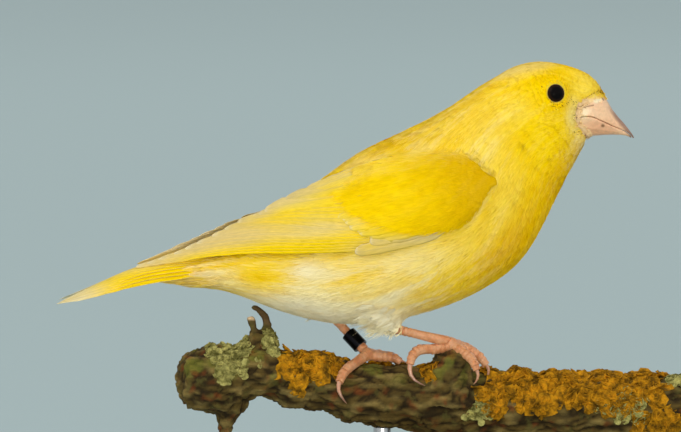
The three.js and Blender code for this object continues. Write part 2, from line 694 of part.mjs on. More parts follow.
function bodyNodes() {
  const parted = wholeBody
    .subtract(slab(HEAD_CUT.nape, HEAD_CUT.throat))
    .subtract(slab(NECK_CUT.nape, NECK_CUT.throat))
    .decompose();
  const sockets = join([eyeBall(RIGHT, GAP), eyeBall(LEFT, GAP)]);
  const lids = join([lidRing(RIGHT), lidRing(LEFT)]);
  const jaws = billForm().subtract(mouthGap()).decompose();
  const [upper, lower] = jaws.filter((jaw) => jaw.volume() > 1).sort((a, b) => topOf(b) - topOf(a));
  const face = nearestTo(26, parted).subtract(billForm(GAP));
  return {
    head: { body: largest(face.add(lids).subtract(sockets)), finish: "plumage" },
    neck: { body: nearestTo(14, parted), finish: "plumage" },
    torso: { body: nearestTo(-18, parted), finish: "plumage" },
    eye_right: { body: eyeBall(RIGHT), finish: "eye" },
    eye_left: { body: eyeBall(LEFT), finish: "eye" },
    bill_upper: { body: largest(upper.subtract(nostril(RIGHT)).subtract(nostril(LEFT))), finish: "bill" },
    bill_lower: { body: lower, finish: "bill" },
    wing_right: { body: wing(RIGHT), finish: "flight" },
    wing_left: { body: wing(LEFT), finish: "flight" },
    tail: { body: tail(), finish: "flight" },
  };
}

function mountNodes() {
  return {
    leg_ring: { body: legRing(), finish: "ring" },
    perch_branch: { body: branch(), finish: "bark" },
    stand_rod_front: { body: rod(ROD.front), finish: "rod" },
    stand_rod_back: { body: rod(ROD.back), finish: "rod" },
    stand_base: { body: base(), finish: "base" },
  };
}

function meshOf(name, { body, finish }) {
  const { vertProperties, triVerts } = body.getMesh();
  const geometry = new THREE.BufferGeometry();
  geometry.setAttribute("position", new THREE.BufferAttribute(vertProperties, 3));
  geometry.setIndex(new THREE.BufferAttribute(triVerts, 1));
  geometry.computeVertexNormals();
  const mesh = new THREE.Mesh(geometry, new THREE.MeshStandardMaterial(FINISHES[finish]));
  mesh.name = name;
  return mesh;
}

const canary = new THREE.Group();
const nodes = { ...bodyNodes(), ...legNodes("right"), ...legNodes("left"), ...mountNodes() };
for (const [name, piece] of Object.entries(nodes)) canary.add(meshOf(name, piece));

export default canary;
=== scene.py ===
# %% [markdown]
# # A canary on a cut branch
# A life-size yellow canary perches on a short length of lichened branch, which two steel rods
# hold over an oval wooden base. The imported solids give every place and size. This lesson dresses
# them: a skin under small body feathers, wings and tail built feather by feather, a horn bill,
# scaly legs, bark and lichen.

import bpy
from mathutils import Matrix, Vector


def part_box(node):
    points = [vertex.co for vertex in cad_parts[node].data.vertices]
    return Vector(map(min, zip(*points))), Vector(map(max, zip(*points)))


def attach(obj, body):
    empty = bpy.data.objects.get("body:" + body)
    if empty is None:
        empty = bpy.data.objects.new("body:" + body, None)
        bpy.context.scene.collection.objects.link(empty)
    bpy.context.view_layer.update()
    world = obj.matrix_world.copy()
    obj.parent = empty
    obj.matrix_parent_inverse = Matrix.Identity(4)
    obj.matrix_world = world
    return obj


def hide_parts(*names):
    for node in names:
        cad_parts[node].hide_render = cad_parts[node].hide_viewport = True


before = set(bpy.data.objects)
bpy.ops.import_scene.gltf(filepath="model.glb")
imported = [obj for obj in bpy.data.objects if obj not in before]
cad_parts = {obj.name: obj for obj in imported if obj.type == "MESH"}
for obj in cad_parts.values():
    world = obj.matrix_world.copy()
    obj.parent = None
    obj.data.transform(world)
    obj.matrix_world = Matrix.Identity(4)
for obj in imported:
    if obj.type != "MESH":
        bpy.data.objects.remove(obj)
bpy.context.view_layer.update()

import bpy
import numpy as np
from mathutils import Matrix, Vector, noise
from mathutils.bvhtree import BVHTree

MM = 0.001
rng = np.random.default_rng(11)

# %% [markdown]
# ## From arrays to meshes and back
# A coat of a hundred thousand barbs is too slow to build vertex by vertex, so the feathers are
# worked out as numpy arrays in millimetres and handed to Blender in one go. The same arrays carry
# the colour of each point. Reading a solid back as an array lets the looks follow the solids.


# %% Helpers for arrays, colours and pieces
def linear(red, green, blue):
    """A colour as seen on a screen, 0 to 255, as the linear light that shaders use."""
    share = np.array([red, green, blue]) / 255
    return np.where(share < 0.04045, share / 12.92, ((share + 0.055) / 1.055) ** 2.4)


def smoothstep(value, low, high):
    share = np.clip((value - low) / (high - low), 0, 1)
    return share * share * (3 - 2 * share)


def mix(a, b, share):
    """Between a and b by share, which has one axis less than the result. Either can be one colour."""
    share = np.asarray(share)[..., None]
    return a * (1 - share) + b * share


def unit(vectors):
    return vectors / np.maximum(np.linalg.norm(vectors, axis=-1, keepdims=True), 1e-9)


def smooth_path(stations, t):
    """Points at 0 to 1 along a smooth path through stations that are evenly numbered."""
    stations = np.asarray(stations, float)
    last = len(stations) - 1
    where = np.clip(np.asarray(t, float), 0, 1) * last
    i = np.minimum(where.astype(int), last - 1)
    f = (where - i)[..., None]
    ends = np.vstack([2 * stations[0] - stations[1], stations, 2 * stations[-1] - stations[-2]])
    a, b, c, d = (ends[i + k] for k in range(4))
    bend = (2 * a - 5 * b + 4 * c - d) * f**2 + (3 * b - a - 3 * c + d) * f**3
    return 0.5 * (2 * b + (c - a) * f + bend)


def noise_at(points, scale, seed=0.0):
    """Smooth noise of about -1 to 1, with features about `scale` millimetres wide."""
    shift = Vector((seed, 2 * seed, -seed))
    return np.array([noise.noise(Vector(p) / scale + shift) for p in points]) * 1.6


def point_normals(points, triangles):
    a, b, c = (points[triangles[:, k]] for k in range(3))
    faces = np.cross(b - a, c - a)
    normals = np.zeros_like(points)
    for k in range(3):
        np.add.at(normals, triangles[:, k], faces)
    return unit(normals)


def vertex_places(mesh):
    """A mesh's points in millimetres."""
    places = np.empty(len(mesh.vertices) * 3, np.float32)
    mesh.vertices.foreach_get("co", places)
    return places.reshape(-1, 3).astype(float) / MM


def mesh_arrays(mesh):
    """A mesh's points in millimetres, with doubles merged, and its triangles."""
    mesh.calc_loop_triangles()
    corners = np.empty(len(mesh.loop_triangles) * 3, np.int32)
    mesh.loop_triangles.foreach_get("vertices", corners)
    points, index = np.unique(np.round(vertex_places(mesh), 3), axis=0, return_inverse=True)
    triangles = index.reshape(-1)[corners].reshape(-1, 3)
    a, b, c = triangles.T
    return points, triangles[(a != b) & (b != c) & (a != c)]


def joined(parts):
    """Several (points, triangles) as one."""
    starts = np.cumsum([0] + [len(points) for points, _ in parts[:-1]])
    points = np.concatenate([points for points, _ in parts])
    return points, np.concatenate([t + start for (_, t), start in zip(parts, starts)])


def mesh_from(name, points, triangles, smooth=True):
    mesh = bpy.data.meshes.new(name)
    triangles = np.ascontiguousarray(triangles, np.int32)
    mesh.vertices.add(len(points))
    mesh.vertices.foreach_set("co", (np.asarray(points) * MM).astype(np.float32).ravel())
    mesh.loops.add(triangles.size)
    mesh.loops.foreach_set("vertex_index", triangles.ravel())
    mesh.polygons.add(len(triangles))
    mesh.polygons.foreach_set("loop_start", np.arange(0, triangles.size, 3, dtype=np.int32))
    mesh.polygons.foreach_set("use_smooth", np.full(len(triangles), smooth))
    mesh.update(calc_edges=True)
    return mesh


def add_dye(mesh, dye):
    """Gives each point its own colour, which the materials read by the name dye."""
    layer = mesh.color_attributes.new("dye", "FLOAT_COLOR", "POINT")
    full = np.concatenate([np.clip(dye, 0, 1), np.ones((len(dye), 1))], axis=1)
    layer.data.foreach_set("color", full.astype(np.float32).ravel())


def add_map(mesh, name, places):
    """A UV map from one place for each point."""
    corners = np.empty(len(mesh.loops), np.int32)
    mesh.loops.foreach_get("vertex_index", corners)
    layer = mesh.uv_layers.new(name=name)
    layer.uv.foreach_set("vector", places[corners].astype(np.float32).ravel())


def new_object(name, data):
    """An object in the scene for a mesh, a lamp or a camera."""
    made = bpy.data.objects.new(name, data)
    bpy.context.scene.collection.objects.link(made)
    return made


def add_piece(name, mesh, material, replaced=()):
    """A finished piece that rides with the model and stands for some of its solids."""
    piece = new_object(name, mesh)
    if material:
        mesh.materials.clear()
        mesh.materials.append(material)
    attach(piece, "root")
    if replaced:
        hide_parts(*replaced)
    print(f"{name}: {len(mesh.polygons)} faces")
    return piece


def taken_from(holder):
    """The mesh that an object's modifiers make of it. The object itself goes."""
    made = bpy.data.meshes.new_from_object(holder.evaluated_get(bpy.context.evaluated_depsgraph_get()))
    bpy.data.objects.remove(holder)
    return made


def evaluated(mesh, *modifiers):
    """The mesh after some modifiers, each given as its type and its settings."""
    holder = new_object("holder", mesh)
    for kind, settings in modifiers:
        modifier = holder.modifiers.new(kind.lower(), kind)
        for key, value in settings.items():
            setattr(modifier, key, value)
    return taken_from(holder)


def remeshed(points, triangles, voxel, rounds, factor=0.5):
    """One even, smooth skin over closed shapes that cross each other."""
    return mesh_arrays(
        evaluated(
            mesh_from("rough", points, triangles),
            ("REMESH", {"mode": "VOXEL", "voxel_size": voxel * MM}),
            ("SMOOTH", {"iterations": rounds, "factor": factor}),
        )
    )


def grown(points, triangles, amount):
    return points + point_normals(points, triangles) * amount, triangles


def node(*names):
    return joined([mesh_arrays(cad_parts[name].data) for name in names])


# %% [markdown]
# ## The colours of a canary
# The bird is a yellow canary with frosted feathers: lipochrome yellow, brightest on the wing
# coverts, cheeks and tail edges, and cream to white on the belly and thighs. A texture could be
# painted, but soft marks set by place keep skin, coat and quills alike on both sides. Each mark
# is an ellipse in the side view, and the marks are laid over one another in order.

# %% Palette and markings
PALETTE = {
    "yellow": linear(254, 214, 0),
    "bright": linear(255, 218, 0),
    "gold": linear(240, 188, 0),
    "pale": linear(252, 224, 90),
    "cream": linear(253, 232, 150),
    "white": linear(253, 244, 214),
    "beige": linear(236, 212, 158),
    "chalk": linear(254, 247, 226),
    "quill yellow": linear(254, 214, 0),
    "quill gold": linear(236, 198, 10),
    "quill pale": linear(236, 208, 84),
    "quill cream": linear(232, 206, 128),
    "quill beige": linear(220, 194, 132),
    "quill white": linear(240, 228, 190),
}

# x and z of the middle, half length, half height, tilt in degrees, colour, strength
MARKS = [
    (2.0, 94.0, 11.0, 4.5, 35, "pale", 0.3),
    (17.0, 104.8, 11.0, 1.4, 12, "cream", 0.6),
    (33.5, 102.0, 4.0, 4.5, -40, "pale", 0.6),
    (22.5, 102.3, 6.0, 2.2, 0, "bright", 0.8),
    (20.5, 91.0, 7.0, 5.0, -15, "bright", 0.7),
    (17.0, 96.0, 3.5, 2.6, 20, "pale", 0.55),
    (30.0, 94.6, 1.7, 3.4, 0, "cream", 0.75),
    (33.0, 86.4, 2.6, 3.8, 20, "beige", 0.7),
    (9.5, 86.5, 4.5, 9.5, -20, "pale", 0.7),
    (14.5, 76.0, 3.5, 8.0, -15, "pale", 0.5),
    (27.5, 81.5, 3.0, 6.0, -25, "gold", 0.6),
    (21.5, 73.0, 5.0, 9.0, -25, "gold", 0.45),
    (14.0, 64.5, 8.0, 4.0, 40, "gold", 0.8),
    (2.0, 65.0, 11.0, 4.0, 35, "pale", 0.6),
    (-8.0, 63.0, 9.0, 3.0, 10, "cream", 0.7),
    (-24.0, 55.0, 17.0, 7.5, 5, "cream", 0.7),
    (-30.5, 51.0, 13.0, 4.2, -10, "white", 0.85),
    (-30.0, 60.5, 4.0, 2.4, 10, "white", 0.6),
    (-20.0, 59.0, 5.0, 2.6, 12, "yellow", 0.75),
    (-10.5, 54.5, 5.0, 1.6, 25, "white", 0.5),
    (-3.0, 56.5, 6.0, 2.5, 20, "yellow", 0.4),
    (-16.5, 47.5, 12.0, 4.2, 5, "white", 1.0),
    (-40.0, 58.8, 6.5, 3.2, -12, "yellow", 1.0),
    (-47.5, 57.5, 3.2, 2.0, -12, "cream", 0.7),
    (-52.5, 58.0, 3.5, 2.0, -10, "beige", 0.6),
    (-59.0, 57.0, 5.5, 2.6, 0, "gold", 0.55),
]


def plumage_dye(points):
    """The coat's colour at each place on the body."""
    return painted(points, PALETTE["yellow"], MARKS)


def painted(points, dye, marks):
    """Lays soft ellipses of colour over a ground, by place in the side view."""
    for x, z, long, high, tilt, colour, strength in marks:
        turn = np.radians(tilt)
        off_x, off_z = points[:, 0] - x, points[:, 2] - z
        along = (off_x * np.cos(turn) + off_z * np.sin(turn)) / long
        across = (off_z * np.cos(turn) - off_x * np.sin(turn)) / high
        share = strength * np.exp(-0.9 * (along**2 + across**2) ** 1.3)
        dye = mix(dye, PALETTE[colour], share)
    return dye


def frost_at(points):
    """How pale a feather's tip is: most on the neck and belly, least on face and breast."""
    x, _, z = points.T
    back = smoothstep(22 - x, 0, 16)
    low = smoothstep(66 - z, 0, 9) * smoothstep(6 - x, 0, 10)
    breast = np.exp(-(((x - 19) / 9) ** 2) - ((z - 72) / 13) ** 2)
    vent = np.exp(-(((x + 40) / 7) ** 2) - ((z - 58.5) / 4) ** 2)
    throat = np.exp(-(((x - 32) / 4) ** 2) - ((z - 85) / 7) ** 2)
    return (0.04 + 0.12 * back + 0.26 * low) * (1 - 0.55 * breast) * (1 - 0.8 * vent) + 0.3 * throat


# %% [markdown]
# ## The line that the coat follows
# Feathers lie from the bill to the tail. One smooth line through the body gives that direction
# everywhere: a point on the skin takes the direction of the nearest place on the line, laid flat
# on the skin. Round the eye the direction parts as water does round a stone, which keeps the eye
# free. The same line, with the angle round it, also unwraps the skin for the baked colours.

# %% The body's axis and the lie of the feathers
AXIS = [(37, 95), (29, 95.5), (22, 93), (16, 87.5), (11, 79), (5, 71.8), (-4, 65.6), (-16, 60.5),
        (-28, 58.2), (-40, 58.8), (-58, 58.4)]
EYE = {side: np.array([25.2, side * 5.2, 99.6]) for side in (-1, 1)}
EYE_CLEAR = 2.2
EYE_PARTING = 9
LID_EDGE = 2.3
BODY = {"length": 115, "radius": 13}
# the wing's lower edge, under which the feathers lie a little upwards
UNDER_WING = {"x": [-30, -16.5, -1.6, 7.4, 12.8], "z": [62.9, 64.1, 67.4, 73.0, 78.6], "upwards": 0.5}
CHUNK = 4000  # points worked out at a time, to spare memory

axis_share = np.linspace(0, 1, 260)
axis_points = smooth_path(AXIS, axis_share)
axis_way = unit(np.gradient(axis_points, axis=0))


def nearest_flat(points, others):
    """Which of some other places in the side view is nearest to each point, and the way from it."""
    nearest, gap = np.empty(len(points), int), np.empty((len(points), 2))
    for start in range(0, len(points), CHUNK):
        part = slice(start, start + CHUNK)
        off = points[part, None][:, :, [0, 2]] - others[None]
        nearest[part] = (off**2).sum(-1).argmin(1)
        gap[part] = off[np.arange(len(off)), nearest[part]]
    return nearest, gap


def along_body(points):
    """How far each point is from bill (0) to tail (1), and its angle from the back."""
    nearest, flat = nearest_flat(points, axis_points)
    way = axis_way[nearest]
    rise = flat[:, 0] * way[:, 1] - flat[:, 1] * way[:, 0]
    return axis_share[nearest], np.arctan2(points[:, 1], rise)


def lie_at(points, normals):
    """The direction in which feathers lie at each point of the skin."""
    share, _ = along_body(points)
    flat = smooth_path(axis_way[:: len(axis_way) // 20], share)
    way = np.stack([flat[:, 0], np.zeros(len(points)), flat[:, 1]], axis=1)
    above = points[:, 2] - np.interp(points[:, 0], UNDER_WING["x"], UNDER_WING["z"])
    near_edge = smoothstep(above, -7, -1) * (1 - smoothstep(above, 0, 3))
    along_wing = smoothstep(points[:, 0], -28, -8) * (points[:, 0] < 18)
    way[:, 2] += UNDER_WING["upwards"] * near_edge * along_wing
    way = unit(way - normals * (way * normals).sum(1, keepdims=True))
    for centre in EYE.values():
        across = np.cross(normals, way)
        off = points - centre
        x = (off * way).sum(1)
        y = (off * across).sum(1)
        squared = np.maximum(x**2 + y**2, EYE_CLEAR**2 * 0.8)
        near = np.linalg.norm(off, axis=1) < EYE_PARTING
        pull = np.where(near, EYE_CLEAR**2 / squared**2, 0)[:, None]
        bent = way * (1 - pull * (x**2 - y**2)[:, None]) - across * (2 * pull * (x * y)[:, None])
        way = unit(bent)
    return way


def streaks(points, long, wide, seed):
    """Noise of about -1 to 1 that is stretched along the lie."""
    share, angle = along_body(points)
    round_x, round_y = (wave(angle) * BODY["radius"] / wide for wave in (np.cos, np.sin))
    return noise_at(np.stack([share * BODY["length"] / long, round_x, round_y], axis=1), 1.0, seed)


print("axis from", axis_points[0], "to", axis_points[-1])

# %% [markdown]
# ## The folded wing's sheet
# A folded wing is a bent sheet on the body's side. Two edges, from the bend of the wing to its
# tip, and a bulge between them give every place on it by two numbers: s along it and t up it.
# The feathers of all rows are then laid out in s and t, as a drawing would do it, and the sheet
# bends them in space. The values are those of the solids.

# %% Wing sheet
WING_LOW = [(12.8, 11.6, 78.6), (7.4, 14.2, 73.0), (-1.6, 15.9, 67.4), (-16.5, 16.1, 64.1),
            (-28.0, 14.3, 62.9), (-39.0, 11.0, 62.0), (-49.0, 7.6, 61.3), (-58.5, 4.8, 60.6),
            (-67.6, 2.6, 60.0)]
WING_HIGH = [(11.4, 11.2, 82.2), (5.6, 10.6, 86.3), (-5.0, 9.6, 86.4), (-16.0, 7.6, 83.3),
             (-25.5, 5.4, 79.2), (-35.0, 3.8, 75.9), (-45.0, 2.7, 71.9), (-56.5, 1.9, 66.9),
             (-67.4, 1.5, 61.6)]
WING_BULGE = [[b] for b in (0.9, 2.2, 3.2, 3.4, 2.9, 2.0, 1.2, 0.6, 0.2)]
# how the feathers leave that sheet, in mm: a longer tip, a lean to the rump above the lower edge,
# a near tip that droops, and a far wing that is low at its arm and high in its middle
TIP_LONGER = 0.8
LEAN = {"share": 0.2, "edge_x": -30, "edge_z": 62.9, "edge_slope": 0.08}
NEAR_TIP_DROP = 0.15
FAR_WING_RISE = 0.45
FAR_WING = {"arm": -3, "middle": 5, "tip": -1.6}


def sheet_spot(s, t):
    """A place on the wing's sheet, on the +Y side, for arrays of s and t."""
    point = mix(smooth_path(WING_LOW, s), smooth_path(WING_HIGH, s), t)
    point[..., 1] += smooth_path(WING_BULGE, s)[..., 0] * 4 * t * (1 - t)
    return point


def on_sheet(s, t, rise=0.0):
    """Place, outward direction and the sheet's height there, raised off the sheet."""
    small = 0.01
    back = np.clip(s, 0, 1 - small)
    lengthwise = sheet_spot(back + small, t) - sheet_spot(back, t)
    across = sheet_spot(back, t + small) - sheet_spot(back, t - small)
    out = unit(np.cross(lengthwise, across))
    out = np.where(out[..., 1:2] < 0, -out, out)
    place = sheet_spot(np.clip(s, 0, 1), t) + out * np.asarray(rise)[..., None]
    return place, out, np.linalg.norm(across, axis=-1) / (2 * small)


def mirrored(points, side):
    """The same points or directions on one side of the bird."""
    return points * np.array([1, side, 1])


def to_side(points, side, s):
    """Mirrors places on the sheet to one side and fits them to the rump and tail."""
    placed = mirrored(points, side)
    placed[..., 0] -= TIP_LONGER * smoothstep(s, 0.85, 1.0)
    edge = LEAN["edge_z"] + LEAN["edge_slope"] * (placed[..., 0] - LEAN["edge_x"])
    above_edge = np.maximum(placed[..., 2] - edge, 0)
    placed[..., 1] -= side * LEAN["share"] * above_edge * smoothstep(s, 0.5, 0.8)
    if side > 0:
        middle, tip = smoothstep(s, 0.55, 0.85), smoothstep(s, 0.88, 1.0)
        rise = FAR_WING["arm"] + FAR_WING["middle"] * middle + FAR_WING["tip"] * tip
        placed[..., 2] += FAR_WING_RISE * rise
    else:
        placed[..., 2] -= NEAR_TIP_DROP * smoothstep(s, 0.8, 1.0)
    return placed


def triangles_of(*corners):
    """Triangles from three arrays of point numbers at a time."""
    return np.concatenate([np.stack(np.broadcast_arrays(*three), -1).reshape(-1, 3) for three in corners])


def grid_triangles(rows, columns):
    """Triangles of a closed plate: an outer and an inner grid and the rim between them."""
    a = (np.arange(rows - 1)[:, None] * columns + np.arange(columns - 1)).ravel()
    b, c, d = a + 1, a + columns + 1, a + columns
    inner = rows * columns
    plates = triangles_of((a, b, c), (a, c, d)), triangles_of((a, c, b), (a, d, c)) + inner
    rim = list(range(columns - 1)) + [i * columns + columns - 1 for i in range(rows - 1)]
    rim += [(rows - 1) * columns + j for j in range(columns - 1, 0, -1)]
    rim += [i * columns for i in range(rows - 1, 0, -1)]
    rim = np.array(rim)
    after = np.roll(rim, -1)
    edge = triangles_of((after, rim, rim + inner), (after, rim + inner, after + inner))
    return np.concatenate([*plates, edge])


def outward(points, triangles):
    """Turns a closed shape's faces so that they point out."""
    a, b, c = (points[triangles[:, k]] for k in range(3))
    volume = (a * np.cross(b, c)).sum()
    return points, triangles if volume > 0 else triangles[:, ::-1]


ARM = {"end": 0.4, "low": 0.04, "high": 0.96, "rise": 1.2, "fall": 2.2, "deep": 6.0}


def wing_arm(side):
    """The fleshy part of the wing under its small coverts, for the skin."""
    along, across = np.linspace(0, ARM["end"], 14), np.linspace(ARM["low"], ARM["high"], 12)
    s, t = np.meshgrid(along, across, indexing="ij")
    crown = np.sqrt(np.clip(1 - (2 * (t - 0.5)) ** 6, 0, 1))
    fall = ARM["fall"] * smoothstep(s, 0.2, ARM["end"])
    rise = ARM["rise"] * crown * smoothstep(s, -0.12, 0.08) - fall
    place, out, _ = on_sheet(s, t, rise)
    inner = place - out * ARM["deep"]
    points = np.concatenate([to_side(p, side, s).reshape(-1, 3) for p in (place, inner)])
    return outward(points, grid_triangles(*s.shape))


print("wing tip at", sheet_spot(np.array(1.0), np.array(0.5)))

# %% [markdown]
# ## Skin
# Under its feathers a bird is one skin. The solids of head, neck, torso and thighs are swollen
# until their thin cuts close, joined with the two wing arms by a voxel remesh, smoothed, and then
# drawn in by the depth of the coat. The remesh is the simplest way to a seamless surface, and it
# has no detail to lose, since the coat brings that.

# %% Make the skin
FLESH = ["head", "neck", "torso", "thigh_right", "thigh_left"]
SWELL = 0.25
SKIN_VOXEL = 0.7
SKIN_ROUNDS = 14
COAT_AT = [0.0, 0.08, 0.16, 0.26, 0.36, 0.5, 0.7, 0.85, 1.0]
COAT_DEPTH = [0.18, 0.24, 0.45, 0.9, 1.4, 1.7, 1.7, 1.2, 0.5]


def coat_depth(points):
    """Depth of the coat at each point, thin on the face and beside the eyes."""
    share, _ = along_body(points)
    depth = np.interp(share, COAT_AT, COAT_DEPTH)
    for centre in EYE.values():
        far = np.linalg.norm(points - centre, axis=1)
        depth = np.minimum(depth, 0.16 + 0.6 * smoothstep(far, 2.8, 8.0))
    return depth


def make_skin():
    parts = [grown(*node(name), SWELL) for name in FLESH]
    parts += [wing_arm(-1), wing_arm(1)]
    points, triangles = remeshed(*joined(parts), SKIN_VOXEL, SKIN_ROUNDS)
    normals = point_normals(points, triangles)
    outer = points - normals * SWELL
    return outer - normals * coat_depth(outer)[:, None], triangles


skin_points, skin_triangles = make_skin()
skin_normals = point_normals(skin_points, skin_triangles)
skin_tree = BVHTree.FromPolygons(skin_points.tolist(), skin_triangles.tolist())
print("skin:", len(skin_triangles), "triangles")

# %% [markdown]
# ## Feather materials
# A barb scatters light softly and hardly shines, so a rough principled shader without highlights
# does for the small feathers. Quill feathers are closer woven and shine a little. The colour comes
# from the points, and the quills add fine barb lines from their own map, which run out and forward
# from the shaft. The mixes that every later material needs are made here once.


# %% Plumage shaders
def shader(name, **settings):
    """A new material and its principled shader with some of its own values set."""
    material = bpy.data.materials.new(name)
    material.use_nodes = True
    principled = material.node_tree.nodes["Principled BSDF"]
    for key, value in settings.items():
        principled.inputs[key.replace("_", " ")].default_value = value
    return material, material.node_tree, principled


def link(tree, node_type, settings=None, prefix="ShaderNode", **inputs):
    """Adds a node, sets its options and its inputs, by name or as _number, and returns it."""
    made = tree.nodes.new(prefix + node_type)
    for key, value in (settings or {}).items():
        setattr(made, key, value)
    for key, value in inputs.items():
        socket = made.inputs[int(key[1:]) if key[0] == "_" else key.replace("_", " ")]
        if isinstance(value, bpy.types.NodeSocket):
            tree.links.new(value, socket)
        else:
            socket.default_value = value
    return made


def pattern(tree, scale, detail, roughness=0.5, stretch=(1, 1, 1), **more):
    """Noise in the piece's own space, which can be stretched."""
    place = link(tree, "TexCoord").outputs["Object"]
    place = link(tree, "Mapping", Vector=place, Scale=stretch).outputs[0]
    made = link(tree, "TexNoise", Vector=place, Scale=scale, Detail=detail, Roughness=roughness, **more)
    return made.outputs["Fac"]


def dye_of(tree):
    """The colour that the points carry."""
    return link(tree, "Attribute", {"attribute_name": "dye"}).outputs["Color"]


def shaded(tree, colour, pattern, dark, light):
    """A colour made darker and lighter by a noise pattern."""
    tint = link(tree, "MapRange", Value=pattern, _1=0.3, _2=0.7, _3=dark, _4=light)
    return link(tree, "VectorMath", {"operation": "SCALE"}, _0=colour, Scale=tint.outputs[0]).outputs[0]


def blended(tree, pattern, low, high, first, second, most=1.0):
    """One colour that gives way to another as a noise pattern rises from low to high."""
    share = link(tree, "MapRange", Value=pattern, _1=low, _2=high, _3=0.0, _4=most)
    return link(tree, "Mix", {"data_type": "RGBA"}, _0=share.outputs[0], _6=first, _7=second).outputs[2]


def finished(tree, principled, colour, height=None, strength=0.0, distance=0.0):
    """Gives the principled shader its colour and, from a pattern of heights, its bump."""
    tree.links.new(colour, principled.inputs["Base Color"])
    if height is not None:
        bump = link(tree, "Bump", Height=height, Strength=strength, Distance=distance)
        tree.links.new(bump.outputs[0], principled.inputs["Normal"])


def dyed_material(name, **settings):
    """A plain material in the colours of the points."""
    material, tree, principled = shader(name, **settings)
    finished(tree, principled, dye_of(tree))
    return material


def quill_material():
    material, tree, principled = shader("quills", Roughness=0.6, Specular_IOR_Level=0.03)
    vane = link(tree, "UVMap", {"uv_map": "vane"})
    # The vane map is in millimetres, across and along, so these scales are lines a millimetre.
    stretched = link(tree, "Mapping", Vector=vane.outputs[0], Scale=(1.4, 0.16, 1.0))
    long_streaks = link(tree, "TexNoise", Vector=stretched.outputs[0], Scale=3.0, Detail=3.0, Roughness=0.6)
    slanted = link(tree, "Mapping", Vector=vane.outputs[0], Scale=(1.0, 1.0, 1.0), Rotation=(0, 0, 0.5))
    barbs = link(tree, "TexWave", {"bands_direction": "Y"}, Vector=slanted.outputs[0], Scale=0.9,
                 Distortion=1.5, Detail=2.0, Detail_Scale=2.0)
    relief = link(tree, "Math", {"operation": "MULTIPLY_ADD"}, _0=barbs.outputs["Fac"], _1=0.3,
                  _2=long_streaks.outputs["Fac"])
    colour = shaded(tree, dye_of(tree), long_streaks.outputs["Fac"], 0.86, 1.06)
    finished(tree, principled, colour, relief.outputs[0], 0.35, 0.12 * MM)
    return material


BARBS = dyed_material("barbs", Roughness=0.8, Specular_IOR_Level=0.0)
QUILLS = quill_material()
SKIN_SHADE = 0.94
MAP_EDGE = 0.03


def unwrap(points):
    """Where each point lies on the flat unwrap of the skin: from bill to tail, and round."""
    share, angle = along_body(points)
    return MAP_EDGE + (1 - 2 * MAP_EDGE) * np.stack([share, angle / (2 * np.pi) + 0.5], axis=1)


skin_mesh = mesh_from("skin", skin_points, skin_triangles)
add_dye(skin_mesh, plumage_dye(skin_points) * SKIN_SHADE)
add_map(skin_mesh, "OFBake", unwrap(skin_points))
add_piece("skin", skin_mesh, BARBS, FLESH)

# %% [markdown]
# ## The coat of small feathers
# A canary has some two thousand contour feathers, each a fan of loose barbs on a short shaft.
# Hair strands would look right in a still, but only real meshes keep their shape in an export,
# so each feather is a fan of thin tapered blades, every blade a tuft of barbs. Feathers are
# scattered with an even spacing that grows from the face to the belly, follow the lie over the
# skin in three steps, and rise from the skin at the root to the coat's depth at the tip, so that
# they overlap like roof tiles.


# %% Scatter feather roots over the skin
def scatter(points, triangles, normals, spacing, crowd=3.0, closest=0.8):
    """Random places on a surface that keep a share of their own spacing from each other."""
    a, b, c = (points[triangles[:, k]] for k in range(3))
    areas = np.linalg.norm(np.cross(b - a, c - a), axis=1) / 2
    middle_spacing = spacing((a + b + c) / 3)
    wanted = areas / middle_spacing**2
    total = int(crowd * wanted.sum())
    chosen = rng.choice(len(areas), total, p=wanted / wanted.sum())
    u, v = rng.random((2, total))
    fold = u + v > 1
    u, v = np.where(fold, 1 - u, u), np.where(fold, 1 - v, v)
    weights = np.stack([1 - u - v, u, v], axis=1)[..., None]
    corners = triangles[chosen]
    places = (points[corners] * weights).sum(1)
    directions = unit((normals[corners] * weights).sum(1))
    room = spacing(places)
    cells, kept = {}, []
    size = room.max()
    for i, (place, key) in enumerate(zip(places, (places // size).astype(int))):
        x, y, z = key
        near = [j for dx in (-1, 0, 1) for dy in (-1, 0, 1) for dz in (-1, 0, 1)
                for j in cells.get((x + dx, y + dy, z + dz), ())]
        if near and (((places[near] - place) ** 2).sum(1) < (closest * room[i]) ** 2).any():
            continue
        cells.setdefault((x, y, z), []).append(i)
        kept.append(i)
    return places[kept], directions[kept]


SIZE_AT = [0.0, 0.07, 0.14, 0.22, 0.32, 0.45, 0.6, 0.8, 1.0]
FEATHER_SPACING = [0.42, 0.48, 0.58, 0.74, 0.9, 1.02, 1.1, 1.1, 0.9]
FEATHER_LENGTH = [1.5, 2.2, 3.2, 4.6, 5.8, 7.0, 8.0, 8.5, 8.0]


def feather_spacing(points):
    return np.interp(along_body(points)[0], SIZE_AT, FEATHER_SPACING)


# %% Find which roots lie under the wing
WING_GRID = (90, 30)
# how near the sheet a root has to lie to be in the wing, the arm's end and margin, and how the
# stiff feathers roof the body
IN_WING = {"off": 0.9, "deep": -6, "arm_end": 0.37, "arm_margin": 0.07, "above": 0.06, "roof": 9.0}
BILL_MARGIN = 0.12

wing_s, wing_t = np.meshgrid(*[np.linspace(0, 1, steps) for steps in WING_GRID], indexing="ij")
wing_side_view = sheet_spot(wing_s, wing_t).reshape(-1, 3)


def wing_place(points):
    """The nearest s and t of the wing's sheet, how far off it is in the side view, and how deep."""
    nearest, gap = nearest_flat(points, wing_side_view[:, [0, 2]])
    s, t = wing_s.ravel()[nearest], wing_t.ravel()[nearest]
    depth = np.abs(points[:, 1]) - on_sheet(s, t)[0][:, 1]
    return s, t, np.sqrt((gap**2).sum(1)), depth


